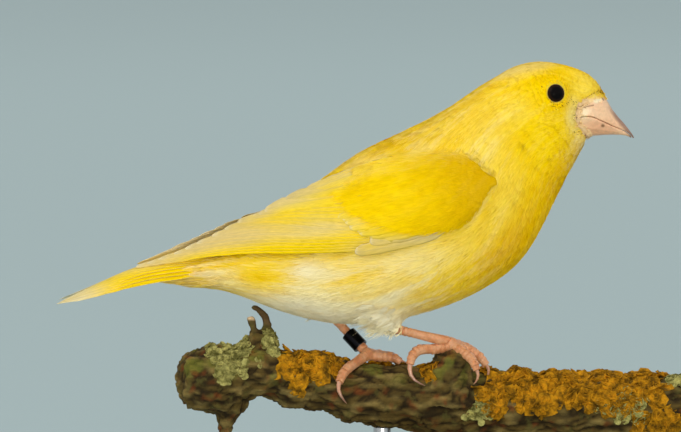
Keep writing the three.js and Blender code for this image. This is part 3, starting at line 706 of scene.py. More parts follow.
def panel_share(s):
    """The share of the wing's height that its golden small coverts take: narrow only in front."""
    return 0.1 + 0.9 * smoothstep(s, -0.04, 0.16) ** 1.1


root_places, root_normals = scatter(skin_points, skin_triangles, skin_normals, feather_spacing)
root_s, root_t, root_off, root_depth = wing_place(root_places)
in_wing = (root_off < IN_WING["off"]) & (root_depth > IN_WING["deep"])
in_panel = np.abs(root_t - 0.5) < 0.5 * panel_share(root_s) - IN_WING["arm_margin"]
on_arm = in_wing & (root_s < IN_WING["arm_end"]) & in_panel
sheets = [(to_side(wing_side_view, side, wing_s.ravel()), grid_triangles(*WING_GRID)) for side in (-1, 1)]
sheets = [(p, t[(t < len(p)).all(1)]) for p, t in sheets]
sheet_tree = BVHTree.FromPolygons(*[a.tolist() for a in joined(sheets)])
roofed = np.array([sheet_tree.ray_cast(Vector(p), Vector(n), IN_WING["roof"])[0] is not None
                   for p, n in zip(root_places, root_normals)])
hidden = in_wing & (root_s >= IN_WING["arm_end"]) & (root_t > IN_WING["above"]) & roofed


def eye_distance(points):
    """How far each point is from the nearer eye."""
    return np.min([np.linalg.norm(points - centre, axis=1) for centre in EYE.values()], axis=0)


bill_tree = BVHTree.FromPolygons(*[a.tolist() for a in node("bill_upper", "bill_lower")])
from_bill = np.array([bill_tree.find_nearest(Vector(p))[3] for p in root_places])
keep = ~hidden & (eye_distance(root_places) > LID_EDGE) & (from_bill > BILL_MARGIN)
print("roots:", len(root_places), "kept:", keep.sum(), "on the wing arms:", (on_arm & keep).sum())


# %% Grow a fan of blades from each root
RUMP_END = -51.0
# past the rump's end feathers run straight on: how steeply up or down, from low to high roots
TAILWARDS = {"low": 0.1, "high": -0.18, "from": 56, "to": 61}
# where blades begin, how round and ragged the fan's end is and its shortest blade, as shares of a
# feather; then how deep a root dips in mm, and how the fan rises and sags
FAN = {"begin": 0.02, "begin_spread": 0.25, "round": 0.22, "ragged": 0.3, "shortest": 0.4,
       "dip": 0.3, "dip_share": 0.6, "rise_power": 2.4, "sag": 0.06, "crest": 0.18}


def follow_skin(places, normals, lengths, steps=3):
    """Walks each feather's middle line over the skin, with its direction at each step."""
    line, ups, ways = [places], [normals], [lie_at(places, normals)]
    for _ in range(steps):
        trial = line[-1] + ways[-1] * (lengths / steps)[:, None]
        found = [skin_tree.find_nearest(Vector(p))[:2] for p in trial]
        place = np.array([f[0] for f in found])
        up = unit(np.array([f[1] for f in found]) + ups[-1])
        way = unit(lie_at(place, up) + ways[-1])
        past = (trial[:, 0] < RUMP_END)[:, None]
        high = smoothstep(trial[:, 2], TAILWARDS["from"], TAILWARDS["to"])
        fall = TAILWARDS["low"] + (TAILWARDS["high"] - TAILWARDS["low"]) * high
        tailwards = unit(np.stack([0 * fall - 1, 0 * fall, fall], axis=1))
        straight = line[-1] + unit(ways[-1] + 2 * tailwards) * (lengths / steps)[:, None]
        line.append(np.where(past, straight, place))
        ups.append(np.where(past, ups[-1], up))
        ways.append(np.where(past, tailwards, way))
    return np.stack(line, 1), np.stack(ups, 1), np.stack(ways, 1)


def between(stations, share):
    """Linear steps along each feather's stations, for shares shaped (feather, blade, ring)."""
    last = stations.shape[1] - 1
    i = np.minimum((share * last).astype(int), last - 1)
    f = (share * last - i)[..., None]
    row = np.arange(len(stations))[:, None, None]
    return stations[row, i] * (1 - f) + stations[row, i + 1] * f


# triangles of a blade with one or two three-cornered rings between its root and its tip
ROOT_FACES = [(0, 1, 2), (0, 2, 3), (0, 3, 1)]
SIDE_FACES = [
    t for k, after in ((0, 1), (1, 2), (2, 0))
    for t in ((1 + k, 4 + k, 1 + after), (1 + after, 4 + k, 4 + after))
]
BLADE_PATTERN = {
    1: ROOT_FACES + [(4, 2, 1), (4, 3, 2), (4, 1, 3)],
    2: ROOT_FACES + SIDE_FACES + [(7, 5, 4), (7, 6, 5), (7, 4, 6)],
}


def fan_of_blades(line, ups, ways, width, depth, blades, rings, blade_wide, loose=1.0):
    """Closed tapered blades for each feather: points, triangles and each point's share of length."""
    count = len(line)
    lateral = np.linspace(-1, 1, blades)[None] + rng.uniform(-1, 1, (count, blades)) / blades
    begin = FAN["begin"] + FAN["begin_spread"] * rng.random((count, blades))
    ragged = loose * FAN["ragged"] * rng.random((count, blades)) ** 2
    end = np.clip(1 - FAN["round"] * lateral**2 - ragged, FAN["shortest"], 1)
    levels = np.array([0, 0.55, 1.0]) if rings == 1 else np.array([0, 0.35, 0.75, 1.0])
    share = begin[..., None] + (end - begin)[..., None] * levels
    spread = np.clip(levels * 1.25, 0, 1) ** 0.75
    offset = (lateral * width[:, None] / 2)[..., None] * spread
    sides = np.cross(ups, ways)
    dip = np.minimum(FAN["dip"], FAN["dip_share"] * depth)[:, None, None]
    rise = depth[:, None, None] * (1 - (1 - share) ** FAN["rise_power"]) - dip * (1 - share) ** 3
    rise = rise - FAN["sag"] * offset**2 / np.maximum(width, 1)[:, None, None]
    own = rng.uniform(-1, 1, (count, 1)) + 0.4 * loose * rng.uniform(-1, 1, (count, blades))
    own = own * np.minimum(0.045, 0.04 * depth)[:, None]
    rise += own[..., None] * levels
    up, side = between(ups, share), between(sides, share)
    middle = between(line, share) + up * rise[..., None] + side * offset[..., None]
    half = blade_wide * 0.5 * rng.uniform(0.75, 1.25, (count, blades))[..., None, None]
    rings_made = [middle[:, :, :1]]
    for k in range(1, rings + 1):
        shrink = 1.0 if k == 1 else 0.8
        core = middle[:, :, k : k + 1]
        reach = side[:, :, k : k + 1] * half * shrink
        crest = up[:, :, k : k + 1] * half * FAN["crest"]
        rings_made += [core - reach, core + reach, core + crest]
    rings_made.append(middle[:, :, -1:])
    points = np.concatenate(rings_made, axis=2)
    each = points.shape[2]
    pattern = np.array(BLADE_PATTERN[rings])
    sample = points[0, 0]
    a, b, c = (sample[pattern[:, k]] - sample[0] for k in range(3))
    if (a * np.cross(b, c)).sum() < 0:
        pattern = pattern[:, ::-1]
    starts = np.arange(count * blades) * each
    triangles = (starts[:, None, None] + pattern[None]).reshape(-1, 3)
    parts = [0] + [k for k in range(1, rings + 1) for _ in range(3)] + [rings + 1]
    return points.reshape(-1, 3), triangles, share[..., parts], lateral, middle[:, :, rings]


DEEPER = np.array([0.9, 0.76, 0.4])
BROAD_STREAK = (11.0, 1.7, 1.0)  # length and width in mm, and seed
FINE_STREAK = (6.0, 0.7, 4.0)
PATCH_SIZE = 0.0028  # of one feather on the baked map


def blade_dye(spots, share, base, frost):
    """Colours of each blade: streaks that run along the lie, gold between them, paler tips, and
    painted shade towards the roots.
    """
    count, blades, each = share.shape
    flat = spots.reshape(-1, 3)
    broad, fine = streaks(flat, *BROAD_STREAK), streaks(flat, *FINE_STREAK)
    own = rng.normal(0, 0.22, len(flat))
    frost = frost.reshape(-1)
    pale = np.clip(0.9 * broad + 0.6 * fine + own + 0.1, 0, 1) * frost * 1.5
    deep = np.clip(-0.8 * broad - 0.4 * fine + own - 0.1, 0, 1) * 0.35
    frosted = PALETTE["chalk"] * 0.4 + PALETTE["cream"] * 0.6
    dye = mix(base.reshape(-1, 3), frosted, np.clip(pale, 0, 0.85))
    dye = mix(dye, dye * DEEPER, deep).reshape(count, blades, 1, 3)
    tip = smoothstep(share, 0.5, 1.0) * frost.reshape(count, blades, 1) * 0.5
    colour = mix(dye + 0 * share[..., None], PALETTE["chalk"], tip)
    # darker towards the root as painted shade under the feathers that lie over it; the last factor is each
    # blade's own tone
    return colour * (1 - 0.12 * (1 - share[..., None])) * rng.uniform(0.95, 1.05, (count, blades, 1, 1))


def add_coat(name, lines, widths, depths, fan, base=None, frost=None, loose=1.0):
    """One piece of coat, with its colours and its baked map, from feathers' middle lines. A fan is
    its number of blades, their rings and their width in mm."""
    points, triangles, share, lateral, spots = fan_of_blades(*lines, widths, depths, *fan, loose)
    shape = spots.shape
    if base is None:
        base = plumage_dye(spots.reshape(-1, 3)).reshape(shape)
        frost = frost_at(spots.reshape(-1, 3)).reshape(shape[:2])
    else:
        base = base[:, None] + np.zeros(shape)
        frost = frost[:, None] + np.zeros(shape[:2])
    mesh = mesh_from(name, points, triangles, smooth=False)
    add_dye(mesh, blade_dye(spots, share, base, frost).reshape(-1, 3))
    local = np.stack([share, np.broadcast_to(lateral[..., None] * 0.5 + 0.5, share.shape)], axis=-1) - 0.5
    roots = unwrap(lines[0][:, 0])[:, None, None]
    add_map(mesh, "OFBake", (roots + local * PATCH_SIZE).reshape(-1, 2))
    return add_piece(name, mesh, BARBS)


# %% [markdown]
# ## Body feathers, region by region
# A piece stays small enough to export in full, so the coat is parted by how far along the body
# its roots lie. Face feathers are tiny and close, belly feathers long and loose. On the wing's
# arm the same feathers are shorter and golden, as its small coverts are.

# %% Coat the body
share_at, _ = along_body(root_places)
body = keep & ~on_arm
# from and to along the body, then the fan: blades, rings and blade width in mm
REGIONS = {
    "coat_face": (0.0, 0.15, (10, 1, 0.2)),
    "coat_crown": (0.15, 0.27, (12, 1, 0.22)),
    "coat_neck": (0.27, 0.40, (12, 2, 0.23)),
    "coat_breast": (0.40, 0.52, (12, 2, 0.23)),
    "coat_flank": (0.52, 0.66, (12, 2, 0.25)),
    "coat_belly": (0.66, 0.80, (12, 2, 0.26)),
    "coat_rump": (0.80, 1.01, (12, 2, 0.26)),
}
FAN_WIDTH = 3.4  # times the spacing of the roots


def skin_normal_at(places):
    return np.array([skin_tree.find_nearest(Vector(p))[1] for p in places])


def over_panel(places):
    """Where a feather's tip would lie on the golden panel of the wing."""
    s, t, off, depth = wing_place(places)
    return (off < 0.5) & (depth > -5) & (s < 0.4) & (np.abs(t - 0.5) < 0.5 * panel_share(s) - 0.1)


def body_sizes(places, share):
    """Length, width and depth: longer under the tail, short by the golden panel and the eye."""
    length = np.interp(share, SIZE_AT, FEATHER_LENGTH) * rng.uniform(0.85, 1.15, len(places))
    length *= 1 + 0.25 * smoothstep(-40 - places[:, 0], 0, 6) * smoothstep(60 - places[:, 2], 0, 3)
    length *= 1 - 0.6 * over_panel(places + lie_at(places, skin_normal_at(places)) * length[:, None])
    past_eye = smoothstep(eye_distance(places), 2.4, 7.0)
    length *= 0.35 + 0.65 * past_eye
    width = np.interp(share, SIZE_AT, FEATHER_SPACING) * FAN_WIDTH * (0.45 + 0.55 * past_eye)
    return length, width, coat_depth(places)


for name, (start, stop, fan) in REGIONS.items():
    chosen = body & (share_at >= start) & (share_at < stop)
    length, width, depth = body_sizes(root_places[chosen], share_at[chosen])
    lines = follow_skin(root_places[chosen], root_normals[chosen], length)
    add_coat(name, lines, width, depth, fan)

# %% [markdown]
# ## Small coverts of the wing
# On a canary the lesser and median coverts look like one soft golden panel; its front is darker,
# partly its own gold and partly painted shade. They are feathers of the same kind as the coat's, so
# the same fans are set on the wing's own sheet, in rows along its arm, and lie lengthwise over the
# roots of the stiff feathers.

# %% Coat the wing arms
ARM_ROWS = {"along": 38, "across": 17, "start": -0.015, "sheet": 80.0}
# how far back in s the coverts' tips reach at each height t: a rounded lobe
COVERT_REACH = {"t": [0.05, 0.18, 0.355, 0.54, 0.8, 1.0], "s": [0.31, 0.35, 0.405, 0.455, 0.5, 0.505]}
COVERT_LENGTH = {"front": 4.0, "back": 6.6}
COVERT_WIDTH = 3.2


def arm_lines(side):
    """Middle lines of the small coverts, from a jittered grid on the sheet."""
    rows = (np.arange(ARM_ROWS[key]) for key in ("along", "across"))
    along, across = np.meshgrid(*rows, indexing="ij")
    jitter = rng.uniform(-0.6, 0.6, (2, *along.shape))
    f = (along + 0.5 + jitter[0]) / ARM_ROWS["along"]
    g = np.clip((across + 0.5 + jitter[1]) / ARM_ROWS["across"], 0.01, 0.99)
    stop = np.interp(0.1 + 0.9 * g, COVERT_REACH["t"], COVERT_REACH["s"]) - 0.09
    s0 = (ARM_ROWS["start"] + (stop - ARM_ROWS["start"]) * f).ravel()
    floor = 0.18 * smoothstep(s0, 0.1, 0.24)
    t0 = floor + (0.99 - floor) * g.ravel()
    t0 = 0.5 + (t0 - 0.5) * panel_share(s0)
    growth = (COVERT_LENGTH["back"] - COVERT_LENGTH["front"]) * smoothstep(s0, 0.0, 0.25)
    length = (COVERT_LENGTH["front"] + growth) * rng.uniform(0.9, 1.1, len(s0))
    drift = 0.03 * (0.5 - t0)
    steps = np.linspace(0, 1, 4)
    s = s0[:, None] + length[:, None] / ARM_ROWS["sheet"] * steps
    t = np.clip(t0[:, None] + drift[:, None] * steps, 0.01, 0.99)
    base = 0.4 + 0.4 * smoothstep(s, 0.0, 0.2)
    base = base - 0.7 * smoothstep(np.abs(t - 0.5), 0.3, 0.5) * (1 - smoothstep(s, 0.25, 0.4))
    place, out, _ = on_sheet(s, t, base)
    line, ups = to_side(place, side, s), mirrored(out, side)
    return (line, ups, unit(np.gradient(line, axis=1))), s0, t0, f.ravel()


for side, name in ((-1, "coat_arm_right"), (1, "coat_arm_left")):
    lines, s0, t0, f0 = arm_lines(side)
    # gold of the panel, darkened by 0.86 and deepest at the front: partly the coverts' own gold, partly
    # painted shade where the shoulder turns down and forward
    golden = mix(PALETTE["yellow"], PALETTE["gold"], 0.85) * 0.86
    golden = mix(golden, PALETTE["bright"], smoothstep(s0, 0.05, 0.3))
    golden = mix(golden, PALETTE["pale"], 0.4 * smoothstep(t0, 0.78, 1.0))
    width = COVERT_WIDTH * (0.35 + 0.65 * smoothstep(s0, 0.0, 0.15))
    depth = 0.7 - 0.35 * smoothstep(f0, 0.7, 1.0)
    frost = 0.01 + 0.1 * smoothstep(t0, 0.78, 1.0)
    add_coat(name, lines, width, depth, (14, 2, 0.22), golden, frost)

# %% [markdown]
# ## Soft edges: bill base, bristles and thighs
# Three places need feathers that don't follow the coat. Tiny pale feathers point forward over the
# bill's base and hide its edge. Dark bristles stand in front of the eye and along that edge, where
# some also darken the painted shadows of the feathers' edge. The thighs carry loose white down,
# whose wisps hang past the leg. All are the same closed blades, set by short lists of places.

# %% Feathers over the base of the bill
face_tree = BVHTree.FromPolygons(*[a.tolist() for a in node("head", "bill_upper", "bill_lower")])


def straight_lines(tree, places, ways, lengths, lift, steps=3):
    """Middle lines that run over a surface in a given direction."""
    line, ups, now = [], [], []
    for place, way, length in zip(places, ways, lengths):
        spot, heading = Vector(place), Vector(way)
        stations = []
        for _ in range(steps + 1):
            near, normal, _, _ = tree.find_nearest(spot)
            heading = (heading - normal * heading.dot(normal)).normalized()
            stations.append((near + normal * lift, normal.copy(), heading.copy()))
            spot = near + heading * (length / steps)
        points, normals, headings = zip(*stations)
        line.append(points)
        ups.append(normals)
        now.append(headings)
    return np.array(line), unit(np.array(ups)), np.array(now)


def bill_fringe():
    """Feathers that bridge from the head on to the bill, and lie flat where they land."""
    head_points, head_triangles = node("head")
    normals = point_normals(head_points, head_triangles)
    places, directions = scatter(head_points, head_triangles, normals, lambda p: np.full(len(p), 0.26))
    gap = np.array([bill_tree.find_nearest(Vector(p))[3] for p in places])
    chosen = (gap < rng.uniform(0.1, 1.7, len(gap))) & (places[:, 0] > 27)
    places, directions = places[chosen], directions[chosen]
    ways = unit(-lie_at(places, directions) + np.array([0.3, 0, -0.1]))
    lengths = rng.uniform(0.7, 1.4, len(places)) + 0.5 * smoothstep(places[:, 2], 98.5, 100)
    ends, landing = [], []
    for place, way, length in zip(places, ways, lengths):
        near, normal, _, _ = bill_tree.find_nearest(Vector(place + way * length))
        ends.append(near + normal * 0.08)
        landing.append(normal)
    steps = np.linspace(0, 1, 4)[None, :, None]
    sunk = places - directions * 0.12
    line = sunk[:, None] * (1 - steps) + np.array(ends)[:, None] * steps
    ups = unit(directions[:, None] * (1 - steps) + np.array(landing)[:, None] * steps)
    headings = unit(np.gradient(line, axis=1))
    front = smoothstep(places[:, 0], 28.4, 30.2) * (1 - smoothstep(places[:, 2], 98, 99.5))
    base = mix(plumage_dye(places), linear(246, 210, 164), 0.9 * front)
    width, depth, frost = (np.full(len(places), value) for value in (0.9, 0.1, 0.1))
    return add_coat("coat_bill_edge", (line, ups, headings), width, depth, (6, 1, 0.13), base, frost)


bill_fringe()

# %% Bristles
# x and z along a short line, count, scatter in mm, heading in degrees in the side view, length
BRISTLES = [
    ([(24.3, 97.6), (26.2, 97.1), (27.9, 98.0)], 22, 0.35, -35, 0.9),
    ([(28.9, 98.6), (29.8, 97.6)], 7, 0.25, -50, 0.9),
    # this row, the next and the row at z 91 lie on the bill's painted feather-edge shadows: there the dark
    # blades are partly bristles, partly painted shade
    ([(29.2, 96.8), (31.0, 96.4), (33.0, 97.0)], 14, 0.14, 5, 0.9),
    ([(32.5, 98.4), (33.8, 99.2), (35.0, 99.9), (35.9, 99.5), (36.5, 98.6)], 20, 0.1, 30, 0.9),
    ([(29.3, 94.4), (30.8, 94.3)], 7, 0.15, 0, 0.8),
    ([(29.3, 91.0), (31.6, 90.5)], 9, 0.2, -10, 0.8),
    ([(22.9, 100.9), (22.5, 101.1)], 4, 0.1, 160, 0.8),
]


BRISTLE_LIFT = 0.16


def bristles():
    """Single dark blades, set out in the side view."""
    places, ways, lengths = [], [], []
    for side in (-1, 1):
        for stations, count, spread, heading, length in BRISTLES:
            path = np.array(stations)
            share = np.linspace(0, len(path) - 1, count)
            x, z = (np.interp(share, np.arange(len(path)), path[:, k]) for k in (0, 1))
            x, z = x + rng.normal(0, spread, count), z + rng.normal(0, spread, count)
            turn = np.radians(heading + rng.normal(0, 18, count))
            for i in range(count):
                hit = face_tree.ray_cast(Vector((x[i], side * 30, z[i])), Vector((0, -side, 0)))[0]
                if hit:
                    places.append(hit)
                    ways.append((np.cos(turn[i]), 0, np.sin(turn[i])))
                    lengths.append(length * rng.uniform(0.7, 1.3))
    lines = straight_lines(face_tree, places, ways, lengths, BRISTLE_LIFT)
    count = len(places)
    dark = mix(linear(84, 56, 20), linear(166, 122, 40), rng.random(count))
    width, depth = np.full(count, 0.04), np.full(count, 0.12)
    return add_coat("bristles", lines, width, depth, (1, 1, 0.13), dark, np.zeros(count))


bristles()

# %% Down on the thighs
# middle and reach of the roots, count, heading in x and z, shortest and longest in mm
THIGHS = {
    "down_right": ((-13.0, -7.2, 51.6), 4.8, 210, (-0.95, 0.0), (3.0, 6.0)),
    "down_cuff": ((-11.5, -6.6, 49.6), 2.8, 80, (-0.4, -0.8), (1.4, 2.6)),
    "down_left": ((-26.0, 5.5, 53.2), 4.0, 60, (-0.95, 0.0), (2.0, 3.4)),
}


def thigh_down(name, centre, reach, count, heading, lengths):
    """Wisps from random places on the thigh."""
    near = np.flatnonzero(np.linalg.norm(skin_points - centre, axis=1) < reach)
    picked = rng.choice(near, count)
    places, ups = skin_points[picked] + rng.normal(0, 0.3, (count, 3)), skin_normals[picked]
    low = smoothstep(centre[2] - places[:, 2], -3, 4)
    sway = rng.normal(0, 0.14, (count, 3))
    ways = np.stack([heading[0] + 0 * low, 0 * low, heading[1] - 0.15 * low], axis=1) + sway
    ways = unit(ways + ups * 0.12)
    length = rng.uniform(*lengths, count)
    steps = np.linspace(0, 1, 4)[None, :, None]
    sag = np.array([0.0, 0.0, -1.0]) * steps**2 * 0.06 * length[:, None, None]
    line = places[:, None] + ways[:, None] * steps * length[:, None, None] + sag
    headings = unit(np.gradient(line, axis=1))
    across = unit(np.cross(headings, ups[:, None]))
    over = unit(np.cross(across, headings))
    white = mix(PALETTE["white"], PALETTE["cream"], 0.4 * rng.random(count))
    width, depth, frost = (np.full(count, value) for value in (1.7, 0.6, 0.3))
    lines = (line, over, headings)
    return add_coat(name, lines, width, depth, (14, 2, 0.12), white, frost, loose=2.0)


for name, values in THIGHS.items():
    thigh_down(name, *values)

# %% [markdown]
# ## Flight feathers and coverts
# Quills are stiff vanes on a shaft: narrow on the leading side, wide on the trailing side, with
# the shaft as a fine ridge. Each is a thin closed plate over the wing's sheet with its own grid,
# slightly cambered and ragged at its edge. The rows, from the primaries up to the median coverts,
# lie in tiers, and each feather's lower edge laps over its neighbour below.

# %% Vanes on the wing
# in mm, or as shares of a vane's half width
VANE = {"thick": 0.1, "thinner": 0.45, "ragged": 0.05, "ridge": 0.05, "ridge_wide": 0.06, "camber": 0.12,
        "rim": 0.04}
# count, half width from lowest to highest feather, rise in mm, where the tip rounds off, shaft's
# place across, roots and tips in s and t from low to high, inner colour, outer colour, tip colour
WING_ROWS = {
    "primaries": (9, (1.0, 1.7), (0.0, 0.55), 0.8, -0.5, [(0.3, 0.05), (0.34, 0.3)],
                  [(1.0, 0.42), (0.75, 0.86)], "quill pale", "quill yellow", "quill beige"),
    "secondaries": (6, (1.5, 1.9), (0.55, 0.75), 0.88, -0.35, [(0.3, 0.36), (0.32, 0.6)],
                    [(0.73, 0.82), (0.64, 0.93)], "quill cream", "quill pale", "quill beige"),
    "tertials": (3, (2.5, 2.4), (0.8, 1.0), 0.8, -0.1, [(0.32, 0.68), (0.34, 0.93)],
                 [(0.68, 0.9), (0.57, 0.98)], "quill cream", "quill pale", "quill beige"),
    "primary_coverts": (2, (1.4, 1.6), (0.5, 0.65), 0.85, -0.2, [(0.2, 0.09), (0.2, 0.18)],
                        [(0.4, 0.08), (0.375, 0.17)], "quill beige", "quill cream", "quill beige"),
    "greater_coverts": (15, (1.7, 1.8), (0.85, 1.0), 0.8, 0.0, [(0.12, 0.22), (0.26, 0.95)],
                        [(0.36, 0.2), (0.41, 0.36), (0.455, 0.54), (0.495, 0.78), (0.505, 0.97)],
                        "quill yellow", "quill yellow", "quill pale"),
}

# as the marks of the body, for the stiff feathers
WING_MARKS = [
    (-20.0, 73.0, 9.0, 6.0, -40, "quill yellow", 0.95),
    (-35.0, 76.0, 13.0, 1.8, 24, "quill cream", 0.8),
    (-34.5, 72.4, 6.5, 1.4, 12, "quill yellow", 0.9),
    (-29.0, 69.6, 11.0, 1.9, 8, "quill cream", 0.9),
    (-44.5, 67.6, 8.0, 2.4, 15, "quill beige", 0.75),
    (-54.0, 65.6, 9.0, 2.4, 24, "quill beige", 0.8),
    (-28.0, 64.7, 19.0, 1.9, 3, "quill yellow", 1.0),
    (-22.0, 65.4, 14.0, 1.6, 3, "quill yellow", 0.9),
    (-50.0, 62.6, 13.0, 1.5, 8, "quill yellow", 0.9),
    (-64.0, 60.6, 6.0, 2.0, 5, "quill beige", 0.7),
    (-13.0, 66.2, 8.0, 2.2, 8, "quill beige", 0.6),
]


LAP = 0.08  # mm that a vane's upper edge lies lower than its middle, under the next


def vane_columns(shaft):
    """Places across a vane, closer where the shaft's ridge is."""
    return np.unique(np.round([-1, -0.7, 0.75, 1, 0.4, shaft - 0.09, shaft, shaft + 0.09], 3))


def vane_mesh(place, reach, shaft, blunt, point=0.5, lengthwise=22):
    """A thin closed vane. place(u, off, lift) gives its points and normals."""
    columns = vane_columns(shaft)
    along = 1 - (1 - np.linspace(0, 1, lengthwise + 1)) ** 1.6
    u, e = np.meshgrid(along, columns, indexing="ij")
    ragged = 1 + VANE["ragged"] * rng.normal(size=(lengthwise + 1, 1)) * (np.abs(e) > 0.9)
    tip = np.clip((u - blunt) / (1 - blunt), 0, 1)
    taper = np.clip(1 - tip**2, 0, 1) ** point * (0.55 + 0.45 * smoothstep(u, 0, 0.35))
    half = np.maximum(reach * taper * ragged, VANE["rim"])
    ridge = VANE["ridge"] * np.exp(-(((e - shaft) / VANE["ridge_wide"]) ** 2)) * (1 - 0.8 * u)
    camber = VANE["camber"] * (1 - e**2) * half
    points, normals = place(u, e * half, ridge + camber)
    inner = points - normals * (VANE["thick"] * (1 - VANE["thinner"] * u))[..., None]
    solid = np.concatenate([points.reshape(-1, 3), inner.reshape(-1, 3)])
    both_sides = (np.tile(values.ravel(), 2) for values in (u, e, half))
    return *outward(solid, grid_triangles(*u.shape)), *both_sides


def wing_vane(side, root, tip, half, rise, blunt, shaft):
    """A vane from root to tip on the wing's sheet."""
    def place(u, off, lift):
        s = root[0] + (tip[0] - root[0]) * u
        t = root[1] + (tip[1] - root[1]) * u
        width = on_sheet(s, np.clip(t, 0, 1))[2]
        settled = 1 - 0.3 * smoothstep(u, 0.6, 1)
        height = rise * smoothstep(u, -0.1, 0.4) * settled - LAP * off / half + lift
        point, out, _ = on_sheet(s, t + off / width, height)
        return to_side(point, side, s), mirrored(out, side)

    return vane_mesh(place, half, shaft, blunt)


def vane_dye(points, marks, u, e, inner, outer, tip, shaft, lot):
    """Outer web, inner web, pale tip and margins of a quill feather. Its lot sets it apart."""
    dye = mix(PALETTE[inner] + 0 * u[:, None], PALETTE[outer], 1 - smoothstep(e, shaft - 0.1, shaft + 0.35))
    dye = painted(points, dye, marks)
    streak = noise_at(np.stack([u * 2.2, e * 1.6, 0 * u + 9 * lot], axis=1), 1.0)
    dye = mix(dye, PALETTE["quill gold"], np.clip(0.6 * streak, 0, 0.35))
    dye = mix(dye, PALETTE[tip], smoothstep(u, 0.8, 1.0) * 0.6)
    dye = mix(dye, PALETTE["quill white"], 0.4 * smoothstep(e, 0.8, 1.0) + 0.5 * smoothstep(u, 0.95, 1.0))
    dye = mix(dye, PALETTE["quill beige"] * 0.8, 0.35 * np.exp(-(((e - shaft) / 0.07) ** 2)))
    return dye * (0.94 + 0.08 * lot)


ATLAS = 12  # quill feathers along each side of the baked map
VANE_GAP = 7.3  # mm between the feathers on the vane map


class Quills:
    """Gathers vanes with their colours and maps into one mesh."""

    def __init__(self):
        self.parts, self.dyes, self.vane_maps, self.bake_maps = [], [], [], []

    def add(self, points, triangles, u, e, half, dye):
        length = np.linalg.norm(points[-1] - points[0])
        cell = len(self.parts)
        under = np.repeat([0, 1], len(points) // 2)
        # The underside is paler: partly the quill's own paler underside, partly painted light that lifts the
        # far wing's inner face out of its shade.
        dye = mix(dye, PALETTE["quill white"], 0.9 * under)
        corner = np.array([cell % ATLAS, cell // ATLAS])
        inside = np.stack([(e * 0.5 + 0.5) * 0.42 + 0.04 + 0.5 * under, u * 0.9 + 0.05], axis=1)
        self.parts.append((points, triangles))
        self.dyes.append(dye)
        self.vane_maps.append(np.stack([e * half, u * length], axis=1) + corner * VANE_GAP)
        self.bake_maps.append((corner + inside) / ATLAS)

    def piece(self, name, replaced):
        mesh = mesh_from(name, *joined(self.parts))
        add_dye(mesh, np.concatenate(self.dyes))
        add_map(mesh, "vane", np.concatenate(self.vane_maps))
        add_map(mesh, "OFBake", np.concatenate(self.bake_maps))
        return add_piece(name, mesh, QUILLS, replaced)


def evenly(stations, f):
    """The value at share f of a list of evenly spaced numbers or points."""
    values = np.array(stations, float).reshape(len(stations), -1)
    steps = np.linspace(0, 1, len(values))
    value = np.array([np.interp(f, steps, column) for column in values.T])
    return value if len(value) > 1 else value[0]


def wing_quills(side, name, replaced):
    quills = Quills()
    for count, halves, rises, blunt, shaft, roots, tips, *colours in WING_ROWS.values():
        for f in np.linspace(0, 1, count):
            root, tip = evenly(roots, f), evenly(tips, f) + rng.normal(0, 0.004, 2)
            half, rise = evenly(halves, f), evenly(rises, f)
            points, triangles, u, e, spread = wing_vane(side, root, tip, half, rise, blunt, shaft)
            dye = vane_dye(points, WING_MARKS, u, e, *colours, shaft, rng.random())
            quills.add(points, triangles, u, e, spread, dye)
    return quills.piece(name, replaced)


wing_quills(-1, "wing_feathers_right", ["wing_right"])
wing_quills(1, "wing_feathers_left", ["wing_left"])

# %% [markdown]
# ## Tail
# Twelve tail feathers fold over one another, the middle pair on top and a little shorter, which
# gives the tail its notch. They share the vane's mesh with the wing and only follow another path:
# from under the rump down and back, each pair lower and further out than the one above.

# %% Tail feathers
TAIL_PAIRS = 6
TAIL_MIDDLE = [(-43.5, 0.9, 63.0), (-65.0, 1.3, 60.9), (-82.4, 1.7, 54.0)]
TAIL_OUTER = [(-45.0, 3.4, 60.6), (-66.0, 4.6, 58.0), (-86.0, 5.9, 52.5)]
TAIL_HALF = 2.15
TAIL_EDGE_DROP = 0.34

TAIL_MARKS = [
    (-66.0, 61.0, 16.0, 1.5, 12, "quill cream", 0.7),
    (-62.0, 58.8, 17.0, 2.2, 12, "quill yellow", 1.0),
    (-84.0, 52.8, 8.0, 2.2, 18, "quill white", 0.85),
]


def tail_quills():
    """Pairs of feathers from the middle of the tail outwards, each steeper than the last."""
    quills = Quills()
    middle, outer = np.array(TAIL_MIDDLE), np.array(TAIL_OUTER)
    for rank in range(TAIL_PAIRS):
        f = rank / (TAIL_PAIRS - 1)
        stations = middle * (1 - f) + outer * f
        stations[:, 2] = middle[:, 2] * (1 - f**1.4) + outer[:, 2] * f**1.4
        fall = 0.09 + 0.25 * f
        shaft = 0.15 + 0.4 * f
        for side in (-1, 1):
            def place(u, off, lift):
                point = smooth_path(stations, u)
                point[..., 1] += off
                edge_drop = TAIL_EDGE_DROP * smoothstep(off / TAIL_HALF, 0.3, 1.0)
                point[..., 2] += lift - fall * off - edge_drop
                normal = np.broadcast_to(unit(np.array([-0.2, fall, 1.0])), point.shape)
                return point * [1, side, 1], normal * [1, side, 1]

            points, triangles, u, e, spread = vane_mesh(place, TAIL_HALF, shaft, 0.6, point=0.75)
            dye = vane_dye(points, TAIL_MARKS, u, -e, "quill pale", "quill yellow", "quill cream",
                           -shaft, rng.random())
            quills.add(points, triangles, u, e, spread, dye)
    return quills.piece("tail_feathers", ["tail"])


tail_quills()

# %% [markdown]
# ## Bill
# The bill is horn: pale pink, darker along its ridge and at the tip, with a sharp mouth line. Its
# solids are right but faceted. A fine voxel remesh of a copy, smoothed, keeps their form and
# rounds the facets away, and colour is set by how high and how far forward a point lies.


